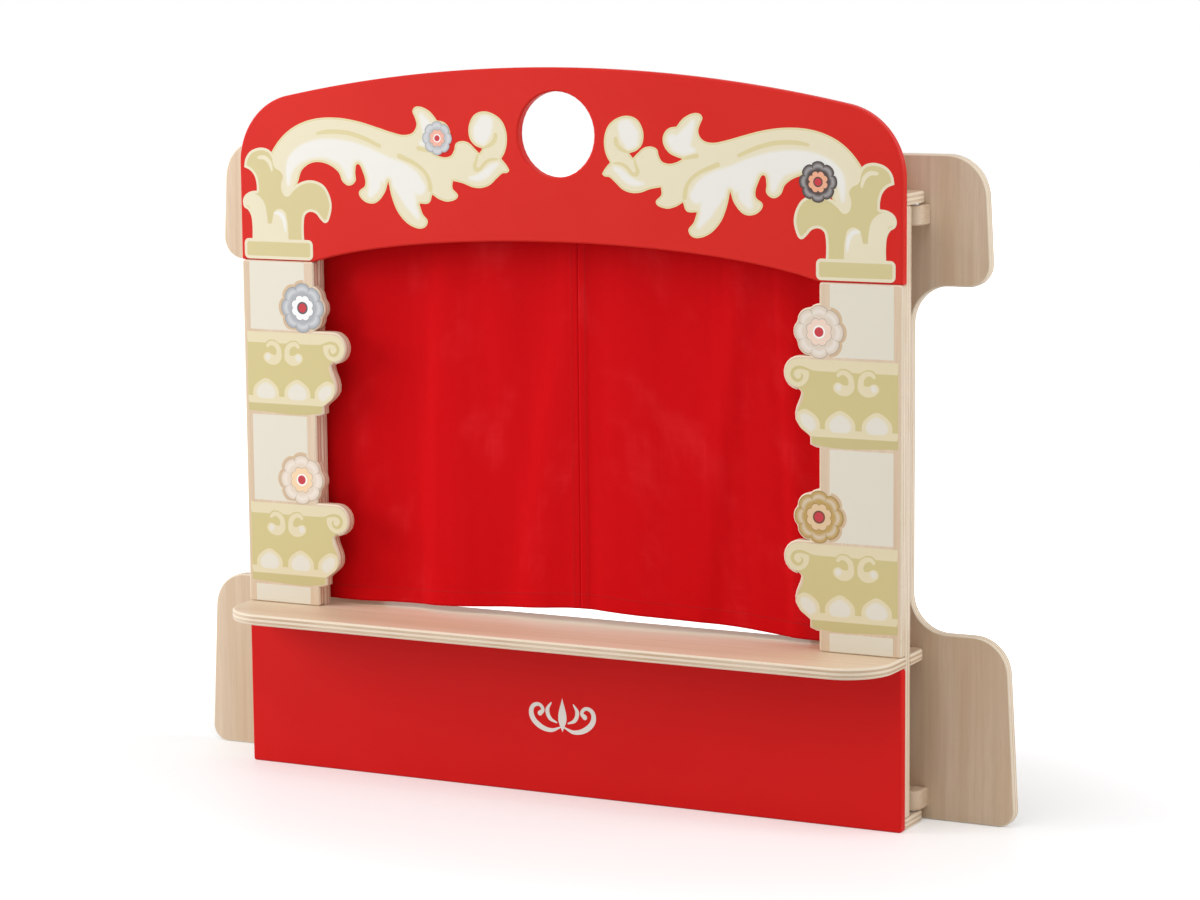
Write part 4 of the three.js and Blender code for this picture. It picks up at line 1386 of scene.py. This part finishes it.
class THEATRE_OT_curtains(bpy.types.Operator):
    """Sews the pair of curtains and hangs it on the rod"""

    bl_idname = "theatre.curtains"
    bl_label = "Curtains"

    def execute(self, context):
        hues, sizes = context.scene.theatre_finishes, context.scene.theatre_sizes
        cloth, sewing = cotton(hues, sizes), sewing_thread(hues)
        middle = (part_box("curtain_left")[1].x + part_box("curtain_right")[0].x) / 2
        for name, first, last in (("left", 0, 1), ("right", 1, 0)):
            node, joint = f"curtain_{name}", f"curtain_{name}_open"
            outer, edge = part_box(node)[first].x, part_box(node)[last].x
            meeting = edge * (1 - MEETING_SHARE) + middle * MEETING_SHARE
            drape = Drape(name, outer, meeting, sizes)
            obj, wide, along = curtain_mesh(f"{node}_cloth", drape)
            stitches = curtain_stitches(f"{node}_stitches", drape, abs(meeting - outer))
            dress(obj, cloth, node, "red_cloth")
            dress(stitches, sewing, node, "red_cloth")
            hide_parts(node)
            for piece in (obj, stitches):
                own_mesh(piece)
        return {"FINISHED"}


# Screws

UPRIGHT_SCREW_HEIGHTS = (0.07, 0.13, 0.24, 0.36, 0.48, 0.585, 0.622)
# How far the uprights' screws stand to either side of the middle, as a share of the post's width
UPRIGHT_SCREW_SWAY = 0.22
BLOCK_SCREW_SHIFTS = (-9 * MM, 9 * MM)
CLEAT_SCREW_RISE = 9 * MM
CLEAT_SCREW_SHARE = 0.8
PLATE_SCREW_PLACES = (-0.325, -0.365, 0.325, 0.365)
PLATE_SCREW_INSET = 6 * MM
# The angle from one screw's recess to the next one's
SCREW_TURN = 2.4
# A screw head's measures as shares of its radius: the dome's height over its rim, the rim's height, the
# skirt's drop below it, and the recess's half width, reach, depth and soft edge
DOME_RISE, RIM_RISE, SKIRT_DROP = 0.22, 0.05, 0.1
RECESS_ARM, RECESS_REACH, RECESS_DEPTH = 0.17, 0.55, 0.4
RECESS_EDGE = (-0.02, 0.10)


def screw_head(radius, rings=12, around=28):
    """A raised countersunk head seen from outside, round its own Z axis: a low dome, with a cross-shaped
    recess that deepens towards its middle. It is worked out for a radius of one."""
    share = np.linspace(0, 1, rings)[:, None]
    turn = np.linspace(0, 2 * math.pi, around, endpoint=False)
    x, y = share * np.cos(turn), share * np.sin(turn)
    dome = DOME_RISE * (1 - share**2) + RIM_RISE
    slot = np.maximum(
        np.minimum(RECESS_ARM - np.abs(x), RECESS_REACH - np.abs(y)),
        np.minimum(RECESS_ARM - np.abs(y), RECESS_REACH - np.abs(x)),
    )
    recess = ease(slot, *RECESS_EDGE) * RECESS_DEPTH * (1 - 0.5 * share)
    top = np.stack([x, y, dome - recess], -1)
    skirt = np.stack([np.cos(turn), np.sin(turn), np.full(around, -SKIRT_DROP)], -1)[None]
    rim = np.concatenate([top, skirt])[1:]
    points = np.vstack([rim.reshape(-1, 3), [[0, 0, dome[0, 0] - RECESS_DEPTH]]]) * radius
    faces = grid_faces(rings, around, wrap=True).tolist()
    faces += [[len(points) - 1, i, (i + 1) % around] for i in range(around)]
    faces.append([(rings - 1) * around + i for i in range(around)][::-1])
    return points, faces


def screw_set(name, places, outward, body, radius):
    """Screw heads at places, with their axes along outward and each turned by its own angle."""
    points, faces = screw_head(radius)
    turns = np.arange(len(places)) * SCREW_TURN
    cos, sin = np.cos(turns)[:, None], np.sin(turns)[:, None]
    x = points[:, 0] * cos - points[:, 1] * sin
    y = points[:, 0] * sin + points[:, 1] * cos
    z = np.broadcast_to(points[:, 2], x.shape)
    axis = Vector(outward)
    across = Vector((0, 0, 1)) if axis.z == 0 else Vector((0, 1, 0))
    local = np.stack([x, y, z], -1) @ np.array([across, axis.cross(across), axis])
    obj = new_object(name, *many(local + np.array(places)[:, None, :], faces))
    dress(obj, bpy.data.materials["turned_steel"], body, "steel")


class THEATRE_OT_screws(bpy.types.Operator):
    """Drives the screws that hold the uprights, the top plate, the cleats and the pivot blocks"""

    bl_idname = "theatre.screws"
    bl_label = "Screws"

    def execute(self, context):
        radius = context.scene.theatre_sizes.screw_radius
        sway = (HALF_FRONT - HALF_STAGE) * UPRIGHT_SCREW_SWAY
        back, up = (0, 1, 0), (0, 0, 1)
        for name, way in SIDES.items():
            x = middle_of(f"upright_{name}")[0]
            places = [
                (x + way * (sway if i % 2 else -sway), UPRIGHT_BACK, height)
                for i, height in enumerate(UPRIGHT_SCREW_HEIGHTS)
            ]
            screw_set(f"upright_screws_{name}", places, back, "root", radius)
            x = middle_of(f"lower_pivot_pin_{name}")[0]
            heights = [middle_of(f"{level}_pivot_block_{name}")[2] for level in LEVELS]
            places = [(x + shift, WING_BACK, z) for z in heights for shift in BLOCK_SCREW_SHIFTS]
            screw_set(f"wing_screws_{name}", places, back, f"wing_{name}", radius)
            low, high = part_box(f"rod_cleat_{name}")
            places = [((low.x + high.x) / 2, high.y, low.z + CLEAT_SCREW_RISE)]
            screw_set(f"cleat_screw_{name}", places, back, "root", radius * CLEAT_SCREW_SHARE)
        low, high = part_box("top_plate")
        places = [(x, low.y + PLATE_SCREW_INSET, high.z) for x in PLATE_SCREW_PLACES]
        screw_set("top_plate_screws", places, up, "root", radius)
        return {"FINISHED"}


# Studio

CAMERA_PLACE = (1.74945, -3.30534, 0.91506)
# The camera's turns, in degrees
CAMERA_YAW, CAMERA_PITCH, CAMERA_ROLL = 27.25, 8.25, -0.52
# Place and width of each lamp, which all point at the theatre's middle
LAMPS = {
    "key_light": ((-2.6, -1.6, 1.3), 1.5),
    "side_light": ((3.0, 0.5, 1.3), 1.8),
    "top_light": ((0.2, -1.1, 2.7), 2.0),
}
LAMP_TARGET = (0, 0, 0.4)
FLOOR_REACH = 9
FLOOR_GREY = 0.72
# Distances from the theatre between which the floor fades to white, and how much each axis counts in them
FADE_SPAN = (0.22, 0.95)
FADE_SHARES = (0.5, 1, 1)


def seen_directly(tree):
    """One for what the camera sees, directly, in a reflection or through glass."""
    path = add(tree, "LightPath")
    rays = maths(tree, "MAXIMUM", path.outputs["Is Camera Ray"], path.outputs["Is Glossy Ray"])
    return maths(tree, "MAXIMUM", rays, path.outputs["Is Transmission Ray"])


def white_world(room):
    """Even light of a room, which the camera sees as white."""
    world = bpy.data.worlds.new("studio")
    world.use_nodes = True
    tree = world.node_tree
    tree.nodes.clear()
    strength = scaled(tree, seen_directly(tree), 1 - room, room)
    ground = add(tree, "Background", {"Color": (1, 1, 1, 1), "Strength": strength})
    add(tree, "OutputWorld", {0: ground.outputs[0]})
    return world


def pale_floor(floor_glow):
    """A pale floor that takes shadows near the theatre and fades to white away from it."""
    corners = [(x * FLOOR_REACH, y * FLOOR_REACH, 0) for x, y in ((-1, -1), (1, -1), (1, 1), (-1, 1))]
    floor = new_object("floor", corners, [(0, 1, 2, 3)])
    material, tree, shader = principled(
        "pale_floor", Base_Color=(FLOOR_GREY, FLOOR_GREY, FLOOR_GREY, 1), Roughness=0.5,
        Specular_IOR_Level=0.2, Emission_Color=(1, 1, 1, 1),
    )
    narrowed = vector_maths(tree, "MULTIPLY", object_place(tree), FADE_SHARES)
    away = add(tree, "VectorMath", {0: narrowed}, operation="LENGTH").outputs["Value"]
    glow = scaled(tree, ramp(tree, away, *FADE_SPAN), 1 - floor_glow, floor_glow)
    link(tree, shader.inputs, Emission_Strength=product(tree, seen_directly(tree), glow))
    floor.data.materials.append(material)


def soft_light(name, place, width, watts):
    lamp = bpy.data.lights.new(name, "AREA")
    lamp.shape, lamp.size, lamp.energy = "SQUARE", width, watts
    obj = bpy.data.objects.new(name, lamp)
    obj.location = place
    obj.rotation_euler = (Vector(LAMP_TARGET) - Vector(place)).to_track_quat("-Z", "Y").to_euler()
    bpy.context.scene.collection.objects.link(obj)


def photo_camera(lens):
    """A camera turned by its yaw round Z, its pitch down and its roll round its own axis."""
    yaw, pitch, roll = (math.radians(a) for a in (CAMERA_YAW, CAMERA_PITCH, CAMERA_ROLL))
    ahead = Vector((-math.sin(yaw) * math.cos(pitch), math.cos(yaw) * math.cos(pitch), -math.sin(pitch)))
    level_right = Vector((math.cos(yaw), math.sin(yaw), 0))
    level_up = level_right.cross(ahead)
    right = level_right * math.cos(roll) + level_up * math.sin(roll)
    up = level_up * math.cos(roll) - level_right * math.sin(roll)
    camera = bpy.data.objects.new("camera", bpy.data.cameras.new("camera"))
    bpy.context.scene.collection.objects.link(camera)
    camera.data.lens = lens
    turn = Matrix((right, up, -ahead)).transposed().to_4x4()
    camera.matrix_world = Matrix.Translation(CAMERA_PLACE) @ turn
    return camera


class THEATRE_OT_studio(bpy.types.Operator):
    """Lays the pale floor, hangs the soft lights and sets up the camera"""

    bl_idname = "theatre.studio"
    bl_label = "Studio"

    def execute(self, context):
        studio = context.scene.theatre_studio
        context.scene.view_settings.view_transform = "Standard"
        context.scene.world = white_world(studio.room)
        pale_floor(studio.floor_glow)
        for name, (place, width) in LAMPS.items():
            soft_light(name, place, width, getattr(studio, name))
        context.scene.camera = photo_camera(studio.lens)
        return {"FINISHED"}


class THEATRE_PT_sidebar(bpy.types.Panel):
    """Lists the steps that dress the theatre"""

    bl_label = "Puppet theatre"
    bl_idname = "THEATRE_PT_sidebar"
    bl_space_type = "VIEW_3D"
    bl_region_type = "UI"
    bl_category = "Theatre"

    def draw(self, context):
        for step in STEPS:
            self.layout.operator(step.bl_idname)


STEPS = (
    THEATRE_OT_studio, THEATRE_OT_finish_frame, THEATRE_OT_header_prints, THEATRE_OT_rosettes,
    THEATRE_OT_balcony_prints, THEATRE_OT_post_panels, THEATRE_OT_flower_prints, THEATRE_OT_flourish,
    THEATRE_OT_curtains, THEATRE_OT_screws,
)
PROPERTIES = {
    "theatre_finishes": TheatreFinishes, "theatre_sizes": TheatreSizes, "theatre_studio": TheatreStudio,
}
CLASSES = (*PROPERTIES.values(), *STEPS, THEATRE_PT_sidebar)


def register():
    for item in CLASSES:
        bpy.utils.register_class(item)
    for name, kind in PROPERTIES.items():
        setattr(bpy.types.Scene, name, PointerProperty(type=kind))


def unregister():
    for name in PROPERTIES:
        delattr(bpy.types.Scene, name)
    for item in reversed(CLASSES):
        bpy.utils.unregister_class(item)


def main():
    register()
    for build_group in (grain_group, ply_group, paint_group, weave_group, ink_group):
        build_group()
    for step in STEPS:
        area, action = step.bl_idname.split(".")
        getattr(getattr(bpy.ops, area), action)()


if __name__ == "__main__":
    main()
